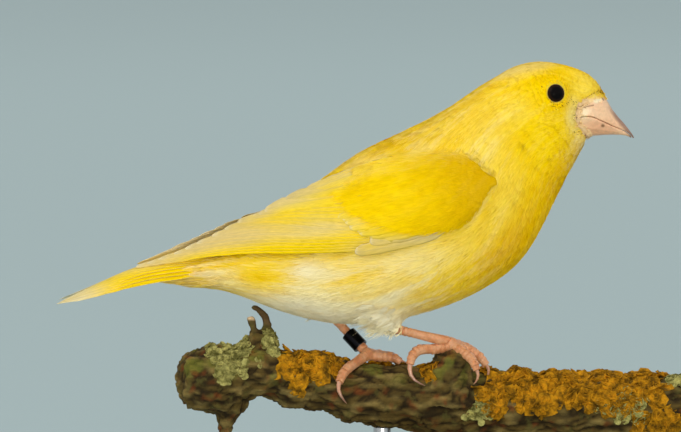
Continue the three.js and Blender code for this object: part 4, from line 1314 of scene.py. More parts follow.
# %% Horn, skin and scale material
def horn_material(name, roughness, fine_scale, coat=0.0):
    """Horn or bare skin: a little light passes through it, and its grain is very fine."""
    material, tree, principled = shader(
        name, Roughness=roughness, Coat_Weight=coat, Coat_Roughness=0.2,
        Subsurface_Weight=0.12, Subsurface_Radius=(1.2 * MM, 0.6 * MM, 0.3 * MM), Subsurface_Scale=1.0)
    fine = pattern(tree, fine_scale, 4.0, 0.6)
    finished(tree, principled, shaded(tree, dye_of(tree), fine, 0.85, 1.08), fine, 0.3, 0.1 * MM)
    return material


HORN = horn_material("bill_horn", 0.5, 1400, 0.05)
BILL_SKIN = {"voxel": 0.13, "rounds": 8, "grow": 0.11}

# brown painted shadows where the feathers end on the bill, with their half width in mm
FEATHER_EDGE_SHADOWS = [
    ([(29.2, 96.9), (31.0, 96.4), (34.2, 96.9)], 0.16),
    ([(32.4, 98.6), (34.9, 100.0), (36.6, 98.0)], 0.16),
    ([(29.4, 90.9), (31.6, 90.5), (32.8, 90.6)], 0.14),
]


def bill_dye(points):
    """Pale horn, pink below, dark at ridge and tip, with a pale swelling over the nostril, and
    painted shadows where the feathers end on it.
    """
    x, _, z = points.T
    dye = mix(linear(240, 196, 154), linear(244, 218, 170), 1 - smoothstep(x, 31, 34.5))
    swelling = np.hypot((x - 35.0) / 1.6, (z - 98.3) / 1.1)
    dye = mix(dye, linear(255, 238, 196), 0.9 * (1 - smoothstep(swelling, 0.5, 1.1)))
    lower = smoothstep(z, 94.8, 92) * (1 - smoothstep(x, 37, 42))
    dye = mix(dye, linear(228, 160, 118), 0.55 * lower)
    ridge = np.interp(x, [30, 36, 38.9, 41, 43.5], [101.3, 99.3, 95.2, 92.7, 89.4])
    near_ridge = smoothstep(z - ridge, -1.7, -0.4) * smoothstep(x, 37.0, 39.5)
    dye = mix(dye, linear(140, 100, 82), 0.85 * near_ridge)
    dye = mix(dye, linear(120, 92, 78), 0.7 * smoothstep(x, 42.0, 43.5))
    for stations, wide in FEATHER_EDGE_SHADOWS:
        path = np.array([smooth_path(stations, t) for t in np.linspace(0, 1, 24)])
        off = np.linalg.norm(points[:, None, [0, 2]] - path[None], axis=2).min(1)
        # painted shadow of the feathers' edge on the horn
        dye = mix(dye, linear(120, 78, 30), 0.8 * (1 - smoothstep(off, 0.4 * wide, 1.6 * wide)))
    spot = np.hypot(x - 36.4, z - 92.3)
    return mix(dye, linear(110, 72, 34), 0.85 * (1 - smoothstep(spot, 0.15, 0.6)))


for name in ("bill_upper", "bill_lower"):
    fine = remeshed(*node(name), BILL_SKIN["voxel"], BILL_SKIN["rounds"])
    points, triangles = grown(*fine, BILL_SKIN["grow"])
    mesh = mesh_from(name.replace("bill", "horn"), points, triangles)
    add_dye(mesh, bill_dye(points))
    add_piece(name.replace("bill", "horn"), mesh, HORN, [name])

# %% [markdown]
# ## Eyes and lids
# A canary's eye is nearly all dark: a wet black ball in a thin ring of lid that is beaded with
# tiny scales. The ball is a smooth sphere at the solid's place. The beads follow the lid's circle,
# so Geometry Nodes set them out along a curve and make them real.


# %% Geometry Nodes helper
def node_group(name, inputs):
    """A geometry tree with named inputs, and its input and output nodes."""
    tree = bpy.data.node_groups.new(name, "GeometryNodeTree")
    tree.interface.new_socket("Geometry", in_out="INPUT", socket_type="NodeSocketGeometry")
    for key, kind in inputs.items():
        tree.interface.new_socket(key, in_out="INPUT", socket_type="NodeSocket" + kind)
    tree.interface.new_socket("Geometry", in_out="OUTPUT", socket_type="NodeSocketGeometry")
    return tree, tree.nodes.new("NodeGroupInput"), tree.nodes.new("NodeGroupOutput")


def geo(tree, node_type, settings=None, **inputs):
    """Adds a geometry node with its options and inputs."""
    return link(tree, node_type, settings, prefix="", **inputs)


def random_value(tree, low, high, seed, kind="FLOAT"):
    """A random number or vector for each point."""
    limits = {"_0": low, "_1": high} if kind == "FLOAT_VECTOR" else {"_2": low, "_3": high}
    made = geo(tree, "FunctionNodeRandomValue", {"data_type": kind}, Seed=seed, **limits)
    return made.outputs[0 if kind == "FLOAT_VECTOR" else 1]


def settled(tree, placed, given, out, smooth=True):
    """Ends a tree with the given material on its shape."""
    shape = placed.outputs[0]
    if smooth:
        shape = geo(tree, "GeometryNodeSetShadeSmooth", Geometry=shape).outputs[0]
    surfaced = geo(tree, "GeometryNodeSetMaterial", Geometry=shape, Material=given.outputs["Material"])
    tree.links.new(surfaced.outputs[0], out.inputs[0])
    return tree


def run_tree(tree, holder_data, values, name):
    """Runs a tree on some data with its inputs set by identifier, and returns a plain mesh."""
    holder = new_object(name + "_holder", holder_data)
    modifier = holder.modifiers.new("nodes", "NODES")
    modifier.node_group = tree
    for item in tree.interface.items_tree:
        if item.in_out == "INPUT" and item.name in values:
            modifier[item.identifier] = values[item.name]
    made = taken_from(holder)
    made.name = name
    return made


# %% Eyeballs
EYE_SHINE = dyed_material(
    "wet_eye", Roughness=0.1, Specular_IOR_Level=0.0,
    Coat_Weight=0.45, Coat_Roughness=0.02, Coat_IOR=1.2)
EYE_TURN = {"forward": 17, "up": 6}
# linear colours: the pupil, and the dark brown iris that rings it
PUPIL, IRIS = np.array([0.004, 0.003, 0.003]), np.array([0.02, 0.009, 0.004])


def eye_gaze(side):
    """The direction in which an eye looks."""
    forward, up = (np.radians(EYE_TURN[key]) for key in ("forward", "up"))
    return np.array([np.sin(forward) * np.cos(up), side * np.cos(forward) * np.cos(up), np.sin(up)])


def full_turn(sides):
    return np.linspace(0, 2 * np.pi, sides, endpoint=False)


def wrapped_faces(count, sides):
    """Triangles of a closed ring: a grid that wraps round both ways, as `count` rings of points."""
    i, k = np.meshgrid(np.arange(count), np.arange(sides), indexing="ij")
    a, b = i * sides + k, i * sides + (k + 1) % sides
    c, d = (i + 1) % count * sides + (k + 1) % sides, (i + 1) % count * sides + k
    return triangles_of((a, b, c), (a, c, d))


def ball(radius, rings=32, sides=48):
    """A closed sphere of triangles about the origin."""
    turn = full_turn(sides)
    tilt = np.linspace(0, np.pi, rings + 1)[1:-1]
    tilt, turn = np.meshgrid(tilt, turn, indexing="ij")
    shell = np.stack([np.sin(tilt) * np.cos(turn), np.sin(tilt) * np.sin(turn), np.cos(tilt)], -1)
    shell = shell.reshape(-1, 3)
    points = np.concatenate([shell, [[0, 0, 1], [0, 0, -1]]]) * radius
    a = (np.arange(rings - 2)[:, None] * sides + np.arange(sides)).ravel()
    b = (np.arange(rings - 2)[:, None] * sides + (np.arange(sides) + 1) % sides).ravel()
    top, bottom = len(shell), len(shell) + 1
    ring = np.arange(sides)
    after = (ring + 1) % sides
    low = (rings - 2) * sides
    middle = (a, b + sides, b), (a, a + sides, b + sides)
    caps = (ring, after, top), (low + after, low + ring, bottom)
    return outward(points, triangles_of(*middle, *caps))


def add_eye(side, name):
    low, high = (np.array(corner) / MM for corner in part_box(name))
    centre = (low + high) / 2
    points, triangles = ball((high - low)[2] / 2)
    front = points @ eye_gaze(side) / np.linalg.norm(points, axis=1)
    mesh = mesh_from("ball_of_" + name, points + centre, triangles)
    add_dye(mesh, mix(PUPIL, IRIS, 1 - smoothstep(front, 0.78, 0.86)))
    add_piece("ball_of_" + name, mesh, EYE_SHINE, [name])
    return centre


LID = {"radius": 2.02, "thick": 0.15, "bead": 0.09, "beads": 46, "out": 1.58}
BEAD_SIZES = (0.7, 1.2)
# radius and height of the collar's section, in mm
COLLAR = [(1.9, 0.02), (2.15, 0.06), (2.5, 0.0), (3.0, -0.3), (3.1, -0.6), (1.9, -0.4)]
LID_SKIN = horn_material("lid_skin", 0.85, 2500)


def lid_tree():
    """A ring of skin with a bead of its own size at each step round it."""
    tree, given, out = node_group("beaded_lid", {"Radius": "Float", "Thickness": "Float", "Bead": "Float",
                                                 "Beads": "Int", "Material": "Material"})
    circle = geo(tree, "GeometryNodeCurvePrimitiveCircle", Resolution=64, Radius=given.outputs["Radius"])
    profile = geo(tree, "GeometryNodeCurvePrimitiveCircle", Resolution=10, Radius=given.outputs["Thickness"])
    ring = geo(tree, "GeometryNodeCurveToMesh", Curve=circle.outputs[0], Profile_Curve=profile.outputs[0])
    spots = geo(tree, "GeometryNodeCurveToPoints", {"mode": "COUNT"}, Curve=circle.outputs[0],
                Count=given.outputs["Beads"])
    bead = geo(tree, "GeometryNodeMeshIcoSphere", Radius=given.outputs["Bead"], Subdivisions=2)
    beads = geo(tree, "GeometryNodeInstanceOnPoints", Points=spots.outputs[0], Instance=bead.outputs[0],
                Scale=random_value(tree, *BEAD_SIZES, 4))
    real = geo(tree, "GeometryNodeRealizeInstances", Geometry=beads.outputs[0])
    both = geo(tree, "GeometryNodeJoinGeometry")
    for part in (ring, real):
        tree.links.new(part.outputs[0], both.inputs[0])
    return settled(tree, both, given, out)


def lid_collar(sides=48):
    """The thin skin that slopes from the lid's ring down under the feathers, closed underneath."""
    turn = full_turn(sides)
    rings = [np.stack([r * np.cos(turn), r * np.sin(turn), 0 * turn + h], 1) for r, h in COLLAR]
    return outward(np.concatenate(rings), wrapped_faces(len(COLLAR), sides))


def add_lid(tree, side, centre, name):
    """One lid with its collar, turned to where the eye looks."""
    values = {"Radius": LID["radius"] * MM, "Thickness": LID["thick"] * MM, "Bead": LID["bead"] * MM,
              "Beads": LID["beads"], "Material": LID_SKIN}
    beads = mesh_arrays(run_tree(tree, bpy.data.meshes.new("empty"), values, name + "_beads"))
    points, triangles = joined([beads, lid_collar()])
    far = np.linalg.norm(points[:, :2], axis=1)
    mesh = mesh_from(name, points, triangles)
    turn = Vector(eye_gaze(side)).to_track_quat("Z", "Y").to_matrix().to_4x4()
    mesh.transform(turn)
    mesh.transform(Matrix.Translation(Vector(centre + eye_gaze(side) * LID["out"]) * MM))
    add_dye(mesh, mix(linear(132, 108, 68), PALETTE["yellow"] * 0.85, smoothstep(far, 2.0, 2.14)))
    return add_piece(name, mesh, LID_SKIN)


beaded = lid_tree()
for side, name in ((-1, "eye_right"), (1, "eye_left")):
    add_lid(beaded, side, add_eye(side, name), "lid_" + name[4:])

# %% [markdown]
# ## Legs, claws and ring
# A songbird's leg is bare below the feathered thigh: pink skin under overlapping scutes. The
# solids of shank and foot are remeshed finely so that their parts flow together, and scutes are
# set along the front of each toe and shank by Geometry Nodes, since they repeat along a path.
# Claws are smoothed copies too.

# %% Legs and claws
LEG_SKIN = horn_material("leg_skin", 0.5, 1800, 0.05)
CLAW_HORN = horn_material("claw_horn", 0.3, 1500, 0.3)
LEG_FORM = {"voxel": 0.17, "rounds": 6, "grow": 0.14}
CLAW_FORM = {"voxel": 0.11, "rounds": 6}
# middle lines of the shank, then of the hind, inner, middle and outer toe
LEG_PATHS = {
    "right": [
        [(-13.2, -8.0, 47.8), (-6.5, -6.5, 46.0), (1.8, -4.2, 43.8)],
        [(2.2, -3.9, 43.0), (-1.4, -4.8, 42.2), (-4.5, -5.9, 42.2), (-6.2, -6.7, 41.0), (-6.8, -7.1, 39.1)],
        [(2.4, -3.6, 43.2), (5.0, -1.9, 42.6), (7.4, -0.6, 41.3), (8.9, 0.2, 39.6)],
        [(2.4, -3.8, 43.3), (6.0, -3.4, 42.0), (8.7, -3.1, 40.4), (10.3, -2.9, 38.6)],
        [(2.3, -4.0, 43.2), (4.9, -5.8, 41.9), (7.1, -7.2, 39.9), (8.1, -7.8, 37.9)],
    ],
    "left": [
        [(-26.4, 6.8, 50.6), (-22.4, 4.6, 46.8), (-16.5, 1.5, 40.8)],
        [(-16.4, 1.0, 40.4), (-18.9, -2.0, 38.9), (-21.4, -5.3, 37.3), (-22.6, -7.2, 35.1)],
        [(-16.2, 1.1, 40.4), (-13.4, 1.2, 39.9), (-10.7, 1.2, 39.8), (-9.0, 1.2, 38.9)],
        [(-16.2, 1.3, 40.5), (-13.0, 3.4, 40.0), (-10.2, 5.2, 39.2), (-8.8, 6.5, 37.6)],
        [(-16.3, 1.5, 40.4), (-15.0, 4.6, 39.6), (-13.8, 7.1, 37.7), (-13.3, 8.2, 35.4)],
    ],
}


def leg_dye(points):
    """Pink skin in paler and redder patches."""
    patch = noise_at(points, 1.6, 3.0)
    dye = mix(linear(222, 150, 98), linear(226, 168, 128), np.clip(0.5 + patch, 0, 1) * 0.6)
    return mix(dye, linear(178, 104, 66), np.clip(-patch, 0, 1) * 0.5)


for side in ("right", "left"):
    for part in ("shank", "foot"):
        fine = remeshed(*node(f"{part}_{side}"), LEG_FORM["voxel"], LEG_FORM["rounds"])
        points, triangles = grown(*fine, LEG_FORM["grow"])
        mesh = mesh_from(f"{part}_skin_{side}", points, triangles)
        add_dye(mesh, leg_dye(points))
        add_piece(mesh.name, mesh, LEG_SKIN, [f"{part}_{side}"])
    claws = [f"claw_{side}_{toe}" for toe in ("hind", "inner", "middle", "outer")]
    parts = [remeshed(*node(name), CLAW_FORM["voxel"], CLAW_FORM["rounds"]) for name in claws]
    points, triangles = joined(parts)
    tip = np.concatenate([smoothstep(p[:, 2].max() - p[:, 2], 1.5, 4.5) for p, _ in parts])
    mesh = mesh_from(f"claws_horn_{side}", points, triangles)
    add_dye(mesh, mix(linear(206, 150, 116), linear(150, 108, 84), tip))
    add_piece(mesh.name, mesh, CLAW_HORN, claws)

# %% Scutes along toes and shanks
# radius in mm at even steps along each kind of path, and the share of the path that has scutes
TOE_GIRTH = {"shank": (1.1, 0.9, 0.98), "hind": (1.25, 1.05, 1.05, 0.85), "front": (1.2, 1.05, 1.0, 0.8)}
SCALY = {"shank": (0.25, 0.95), "hind": (0.06, 0.97), "front": (0.06, 0.97)}
TOE_STEPS = 24
SCUTE_SPACING = 1.0
# radius and place along the toe, for a toe one millimetre thick
SCUTE_SECTION = [(0.8, -0.48), (1.0, -0.5), (1.05, -0.2), (1.09, 0.2), (1.07, 0.42), (0.8, 0.5)]


def scute_tree():
    """Scales set at even steps along a path, each as wide as the toe is there."""
    tree, given, out = node_group("scutes", {"Scute": "Object", "Spacing": "Float", "Seed": "Int",
                                             "Material": "Material"})
    curve = geo(tree, "GeometryNodeMeshToCurve", Mesh=given.outputs["Geometry"])
    even = geo(tree, "GeometryNodeResampleCurve", {"mode": "LENGTH"}, Curve=curve.outputs[0],
               Length=given.outputs["Spacing"])
    spots = geo(tree, "GeometryNodeCurveToPoints", {"mode": "EVALUATED"}, Curve=even.outputs[0])
    girth = geo(tree, "GeometryNodeInputNamedAttribute", {"data_type": "FLOAT"}, Name="girth")
    jitter = random_value(tree, 0.94, 1.05, given.outputs["Seed"])
    size = geo(tree, "ShaderNodeMath", {"operation": "MULTIPLY"}, _0=girth.outputs[0], _1=jitter)
    tilt = random_value(tree, (-0.1, -0.1, 0.0), (0.1, 0.1, 6.3), given.outputs["Seed"], "FLOAT_VECTOR")
    turned = geo(tree, "FunctionNodeRotateRotation", {"rotation_space": "LOCAL"},
                 Rotation=spots.outputs["Rotation"], Rotate_By=tilt)
    scute = geo(tree, "GeometryNodeObjectInfo", Object=given.outputs["Scute"])
    placed = geo(tree, "GeometryNodeInstanceOnPoints", Points=spots.outputs[0],
                 Instance=scute.outputs["Geometry"], Rotation=turned.outputs[0], Scale=size.outputs[0])
    return settled(tree, geo(tree, "GeometryNodeRealizeInstances", Geometry=placed.outputs[0]), given, out)


def band(sides=18):
    """A scale that goes round a toe, slightly uneven and raised at its front edge."""
    turn = full_turn(sides)
    rough = 1 + 0.035 * np.sin(5 * turn) + 0.02 * np.sin(3 * turn + 1)
    radius, height = (np.array(values)[:, None] for values in zip(*SCUTE_SECTION))
    rings = np.stack([radius * rough * np.cos(turn), radius * rough * np.sin(turn), height + 0 * turn], -1)
    return mesh_from("scute", *outward(rings.reshape(-1, 3), wrapped_faces(len(SCUTE_SECTION), sides)))


def toe_lines(paths):
    """A mesh of bare polylines through the shank and the toes, with their girth."""
    points, edges, girths = [], [], []
    for rank, stations in enumerate(paths):
        kind = ("shank", "hind", "front")[min(rank, 2)]
        share = np.linspace(*SCALY[kind], TOE_STEPS)
        start = len(points)
        points += list(smooth_path(stations, share))
        edges += [(start + i, start + i + 1) for i in range(TOE_STEPS - 1)]
        girths += list(np.interp(share, np.linspace(0, 1, len(TOE_GIRTH[kind])), TOE_GIRTH[kind]))
    mesh = bpy.data.meshes.new("toe_lines")
    mesh.from_pydata([Vector(p) * MM for p in points], edges, [])
    mesh.attributes.new("girth", "FLOAT", "POINT").data.foreach_set("value", np.array(girths, np.float32))
    return mesh


scute = bpy.data.objects.new("scute", band())
scutes = scute_tree()
for seed, side in enumerate(("right", "left")):
    values = {"Scute": scute, "Spacing": SCUTE_SPACING * MM, "Seed": seed + 3, "Material": LEG_SKIN}
    mesh = run_tree(scutes, toe_lines(LEG_PATHS[side]), values, f"scutes_{side}")
    add_dye(mesh, leg_dye(vertex_places(mesh)))
    add_piece(f"scutes_{side}", mesh, LEG_SKIN)
bpy.data.objects.remove(scute)

# %% [markdown]
# ## Branch
# The perch is a cut length of weathered twiggy wood with rough bark. The solid has the knobs and
# stubs. It is remeshed to fine, even faces, which noise then pushes in and out: long plates and
# fissures along the wood, and small grain on top. A bump map alone would leave the outline smooth.

# %% Bark
BARK_VOXEL = 0.5
BARK_ROUNDS = 5
PLATE_SIZE = 2.4
STRETCH = 0.35  # how many times longer plates and grain are along the branch, as its inverse
# heights in mm of each kind of roughness, and how far the whole is drawn in
RELIEF = {"plates": 0.5, "lumps": 0.6, "coarse": 0.4, "grain": 0.2, "inward": 0.4}


def bark_material():
    """Wood in the colours of the points, with fine grain and blots of moss."""
    material, tree, principled = shader("bark", Roughness=0.92, Specular_IOR_Level=0.2)
    grain = pattern(tree, 900.0, 8.0, 0.7, (STRETCH, 1, 1))
    blots = pattern(tree, 260.0, 4.0, 0.6)
    wood = shaded(tree, dye_of(tree), grain, 0.55, 1.35)
    mossy = blended(tree, blots, 0.56, 0.66, wood, (*linear(92, 86, 40), 1), 0.6)
    finished(tree, principled, mossy, grain, 0.7, 0.4 * MM)
    return material


BARK = bark_material()


def cell_gap(place):
    """How far a place is from the crack between two plates of bark, in shares of a plate."""
    distances, _ = noise.voronoi(Vector(place) / PLATE_SIZE)
    return distances[1] - distances[0]


def make_bark():
    """The branch's fine faces, pushed in and out, and their colours."""
    points, triangles = remeshed(*node("perch_branch"), BARK_VOXEL, BARK_ROUNDS)
    normals = point_normals(points, triangles)
    lengthwise = points * [STRETCH, 1, 1]
    bent = lengthwise + 1.6 * np.stack([noise_at(points, 6.0, seed) for seed in (31.0, 32.0, 33.0)], axis=1)
    plates = np.array([cell_gap(p) for p in bent])
    lumps = noise_at(points, 5.5, 2.0)
    coarse = noise_at(lengthwise, 1.6, 7.0)
    grain = noise_at(points, 0.7, 5.0)
    height = RELIEF["plates"] * smoothstep(plates, 0.02, 0.35) + RELIEF["lumps"] * lumps
    height += RELIEF["coarse"] * coarse + RELIEF["grain"] * grain - RELIEF["inward"]
    x, y, z = points.T
    twigs = smoothstep(z, 45.5, 48) * smoothstep(-30 - x, 0, 5)
    height = height * smoothstep(z, 20.5, 24) * (1 - 0.85 * twigs)
    crack = 1 - smoothstep(plates, 0.04, 0.3)
    dye = mix(linear(90, 72, 32), linear(32, 22, 8), 0.85 * crack)
    dye = mix(dye, linear(150, 128, 72), np.clip(coarse * 0.9, 0, 0.6))
    moss = smoothstep(noise_at(points, 4.0, 21.0), 0.0, 0.4) * smoothstep(z, 33, 38)
    dye = mix(dye, linear(112, 112, 40), 0.7 * moss)
    dye = mix(dye, linear(120, 60, 24), np.clip(noise_at(points, 1.9, 12.0) - 0.45, 0, 0.6))
    dye = mix(dye, linear(92, 70, 46), 0.7 * twigs)
    cut = smoothstep(z, 48.3, 48.9) * (x < -41.3) * (y < -0.2)
    dye = mix(dye, linear(222, 190, 150), cut)
    return points + normals * height[:, None], triangles, dye


bark_points, bark_triangles, bark_dye = make_bark()
bark_mesh = mesh_from("bark", bark_points, bark_triangles)
add_dye(bark_mesh, bark_dye)
add_piece("bark", bark_mesh, BARK, ["perch_branch"])

# %% [markdown]
# ## Lichen
# Two lichens grow on the bark: an orange leafy one along the top and front, and a grey-green one
# with finer lobes. Both are crowds of small crinkled lobes that overlap, which is what scattering
# on a surface is for: points are spread where a painted density allows, and each carries a lobe
# turned to the bark's own direction.

# %% Lobes and where they grow
# x and z of each patch's middle, half its length and half its height
ORANGE_PATCHES = [(-29.5, 38.5, 7.5, 4.5), (24, 33.5, 13, 5.5), (38, 33, 12, 5), (50, 26, 6, 3),
                  (12, 31, 4, 4), (-3.3, 37.5, 2, 2.2)]
GREY_PATCHES = [(-47, 40, 5, 4.5), (41.5, 29.5, 5, 3.5), (53.5, 36, 3.5, 2.5), (9, 28, 3, 2.5),
                (-38, 43, 2.5, 3)]
BACK_SHIFT = -14.0


def patch_density(points, patches):
    """How thickly a lichen grows: soft ellipses in the side view, shifted along on the far side."""
    x = points[:, 0] + np.where(points[:, 1] > 1.5, BACK_SHIFT, 0)
    rough = noise_at(points, 3.0, 9.0)
    best = np.zeros(len(points))
    for cx, cz, long, high in patches:
        off = np.sqrt(((x - cx) / long) ** 2 + ((points[:, 2] - cz) / high) ** 2)
        best = np.maximum(best, 1 - smoothstep(off + 0.45 * rough, 0.75, 1.05))
    return best


def lobe_mesh(name, folds, curl):
    """A thin crinkled lobe about one millimetre across, closed, with a raised wavy edge."""
    rings, sides = 3, 10
    turn = full_turn(sides)
    outline = 1 + 0.16 * np.sin(folds * turn) + 0.06 * np.sin(7 * turn + 1)
    radii = np.array([0.35, 0.75, 1.0])[:, None] * outline
    wave = np.array([0, 0.05, 0.14])[:, None] * np.cos(folds * turn + 1)
    height = np.array([0.12, 0.18, curl])[:, None] + wave
    top = np.stack([radii * np.cos(turn), radii * np.sin(turn), height], -1).reshape(-1, 3)
    points = np.concatenate([top, [[0, 0, 0.1]], top[-sides:] - [0, 0, 0.1], [[0, 0, -0.15]]])
    centre, under, low = rings * sides, rings * sides + 1, rings * sides + 1 + sides
    k, after = np.arange(sides), (np.arange(sides) + 1) % sides
    faces = [(centre, k, after)]
    for i in range(rings - 1):
        a, b = i * sides + k, i * sides + after
        faces += [(a, a + sides, b + sides), (a, b + sides, b)]
    rim = (rings - 1) * sides
    faces += [(rim + k, under + k, under + after), (rim + k, under + after, rim + after)]
    faces += [(under + k, low, under + after)]
    return mesh_from(name, *outward(points, triangles_of(*faces)))


def lichen_material(name, body_colour, edge_colour, scale):
    """Two colours in blots, as a lichen's lobes vary."""
    material, tree, principled = shader(name, Roughness=0.9, Specular_IOR_Level=0.15)
    blots = pattern(tree, scale, 5.0, 0.65)
    colour = blended(tree, blots, 0.38, 0.62, (*body_colour, 1), (*edge_colour, 1))
    finished(tree, principled, colour, blots, 0.4, 0.3 * MM)
    return material


def lichen_tree():
    """Lobes of random size and turn, scattered as densely as the ground's growth allows."""
    tree, given, out = node_group("lichen", {"Lobe": "Object", "Density": "Float", "Smallest": "Float",
                                             "Largest": "Float", "Seed": "Int", "Material": "Material"})
    share = geo(tree, "GeometryNodeInputNamedAttribute", {"data_type": "FLOAT"}, Name="growth")
    amount = geo(tree, "ShaderNodeMath", {"operation": "MULTIPLY"}, _0=share.outputs[0],
                 _1=given.outputs["Density"])
    spots = geo(tree, "GeometryNodeDistributePointsOnFaces", Mesh=given.outputs["Geometry"],
                Density=amount.outputs[0], Seed=given.outputs["Seed"])
    lobe = geo(tree, "GeometryNodeObjectInfo", Object=given.outputs["Lobe"])
    size = random_value(tree, given.outputs["Smallest"], given.outputs["Largest"], given.outputs["Seed"])
    spin = random_value(tree, (-0.5, -0.5, 0.0), (0.5, 0.5, 6.3), given.outputs["Seed"], "FLOAT_VECTOR")
    turned = geo(tree, "FunctionNodeRotateRotation", {"rotation_space": "LOCAL"},
                 Rotation=spots.outputs["Rotation"], Rotate_By=spin)
    lobes = geo(tree, "GeometryNodeInstanceOnPoints", Points=spots.outputs["Points"],
                Instance=lobe.outputs["Geometry"], Rotation=turned.outputs[0], Scale=size)
    real = geo(tree, "GeometryNodeRealizeInstances", Geometry=lobes.outputs[0])
    return settled(tree, real, given, out, smooth=False)


# patches, folds and curl of a lobe, lobes a square metre, smallest and largest, then the material's
# two colours and scale
LICHENS = {
    "lichen_orange": (ORANGE_PATCHES, (4, 0.3), 1.3e6, (0.7, 1.8),
                      (linear(208, 146, 20), linear(100, 70, 8), 500)),
    "lichen_grey": (GREY_PATCHES, (5, 0.4), 3.0e6, (0.4, 1.0),
                    (linear(196, 188, 112), linear(104, 100, 48), 700)),
}
lichen_nodes = lichen_tree()
for seed, (name, (patches, form, density, (small, large), look)) in enumerate(LICHENS.items()):
    lobe = bpy.data.objects.new(name + "_lobe", lobe_mesh(name + "_lobe", *form))
    ground = bark_mesh.copy()
    growth = ground.attributes.new("growth", "FLOAT", "POINT")
    growth.data.foreach_set("value", patch_density(bark_points, patches).astype(np.float32))
    finish = lichen_material(name, *look)
    values = {"Lobe": lobe, "Density": density, "Smallest": small, "Largest": large,
              "Seed": seed + 1, "Material": finish}
    mesh = run_tree(lichen_nodes, ground, values, name)
    bpy.data.objects.remove(lobe)
    add_piece(name, mesh, finish)

# %% [markdown]
# ## Leg ring and stand
# The ring is a plain closed band of black anodised aluminium; its bright rims are wear and painted
# highlight.
# The stand is an oval of dark waxed wood with two steel rods. All are turned shapes, so each is
# one profile swept round an axis, finer than its solid and in the same place. The oval is a round
# board stretched along the branch.


# %% Turned pieces
def turned(profile, sides):
    """A closed shape from a profile of (radius, height) points, swept round +Z."""
    profile = np.asarray(profile, float)
    turn = full_turn(sides)
    points = np.stack([profile[:, None, 0] * np.cos(turn), profile[:, None, 0] * np.sin(turn),
                       np.repeat(profile[:, None, 1], sides, 1)], -1).reshape(-1, 3)
    merged, index = np.unique(np.round(points, 5), axis=0, return_inverse=True)
    faces = index.reshape(-1)[wrapped_faces(len(profile), sides)]
    good = (faces[:, 0] != faces[:, 1]) & (faces[:, 1] != faces[:, 2]) & (faces[:, 0] != faces[:, 2])
    return outward(merged, faces[good])


def rounded(corners, radius, steps=5):
    """A profile whose corners are rounded, except those on the axis."""
    corners = np.asarray(corners, float)
    made = []
    for i, corner in enumerate(corners):
        before, after = corners[i - 1], corners[(i + 1) % len(corners)]
        if corner[0] == 0:
            made.append(corner)
            continue
        start = corner + unit(before - corner) * radius
        stop = corner + unit(after - corner) * radius
        f = np.linspace(0, 1, steps)[:, None]
        made += list((1 - f) ** 2 * start + 2 * f * (1 - f) * corner + f**2 * stop)
    return made


def metal_material(name, roughness, scale):
    """Brushed metal in the colours of the points."""
    material, tree, principled = shader(name, Metallic=1.0)
    brushed = pattern(tree, 1.0, 3.0, stretch=scale)
    dull = link(tree, "MapRange", Value=brushed, _1=0.3, _2=0.7, _3=roughness - 0.08, _4=roughness + 0.1)
    tree.links.new(dull.outputs[0], principled.inputs["Roughness"])
    finished(tree, principled, dye_of(tree))
    return material


METAL_ROUGHNESS = 0.3
RING = {"centre": (-19.2, 3.0, 43.5), "inner": 1.3, "outer": 1.75, "half": 2.15, "round": 0.14, "wear_and_highlight": 0.12}
# linear colours of the anodising and of its rims, bare worn metal that is also a painted highlight
BLACK, BRIGHT = np.array([0.012, 0.012, 0.014]), np.array([0.3, 0.3, 0.31])
ring_profile = rounded([(RING["inner"], -RING["half"]), (RING["outer"], -RING["half"]),
                        (RING["outer"], RING["half"]), (RING["inner"], RING["half"])], RING["round"])
ring_points, ring_triangles = turned(ring_profile, 72)
# the bright band at each rim: worn metal and a painted highlight
rim = smoothstep(np.abs(ring_points[:, 2]), RING["half"] - RING["wear_and_highlight"], RING["half"])
shank_way = Vector(LEG_PATHS["left"][0][2]) - Vector(LEG_PATHS["left"][0][1])
ring_mesh = mesh_from("ring_band", ring_points, ring_triangles)
ring_mesh.transform(shank_way.to_track_quat("Z", "Y").to_matrix().to_4x4())
ring_mesh.transform(Matrix.Translation(Vector(RING["centre"]) * MM))
add_dye(ring_mesh, mix(BLACK, BRIGHT, rim * 0.6))
ANODISED = metal_material("black_anodising", METAL_ROUGHNESS, (900, 900, 120))
add_piece("ring_band", ring_mesh, ANODISED, ["leg_ring"])


# %% Stand
BASE_ROUND = 1.4
ROD_ROUND = 0.2
STEEL_DYE = [0.55, 0.56, 0.57]


def wood_material():
    """Dark wood with its grain along the board, matt as wax leaves it."""
    material, tree, principled = shader("dark_wood", Roughness=0.5, Specular_IOR_Level=0.15)
    grain = pattern(tree, 3.0, 6.0, 0.6, (12, 110, 110), Distortion=0.6)
    colour = blended(tree, grain, 0.35, 0.65, (*linear(52, 32, 20), 1), (*linear(104, 68, 42), 1))
    finished(tree, principled, colour, grain, 0.2, 0.2 * MM)
    return material


def add_base():
    low, high = (np.array(corner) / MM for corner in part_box("stand_base"))
    half = (high - low)[1] / 2
    top = high[2]
    profile = rounded([(0, 0), (half, 0), (half, top), (0, top)], BASE_ROUND, 7)
    points, triangles = turned(profile, 128)
    points = points * [(high - low)[0] / (high - low)[1], 1, 1]
    mesh = mesh_from("base_board", points, triangles)
    return add_piece("base_board", mesh, wood_material(), ["stand_base"])


STEEL = metal_material("brushed_steel", METAL_ROUGHNESS, (2500, 2500, 60))


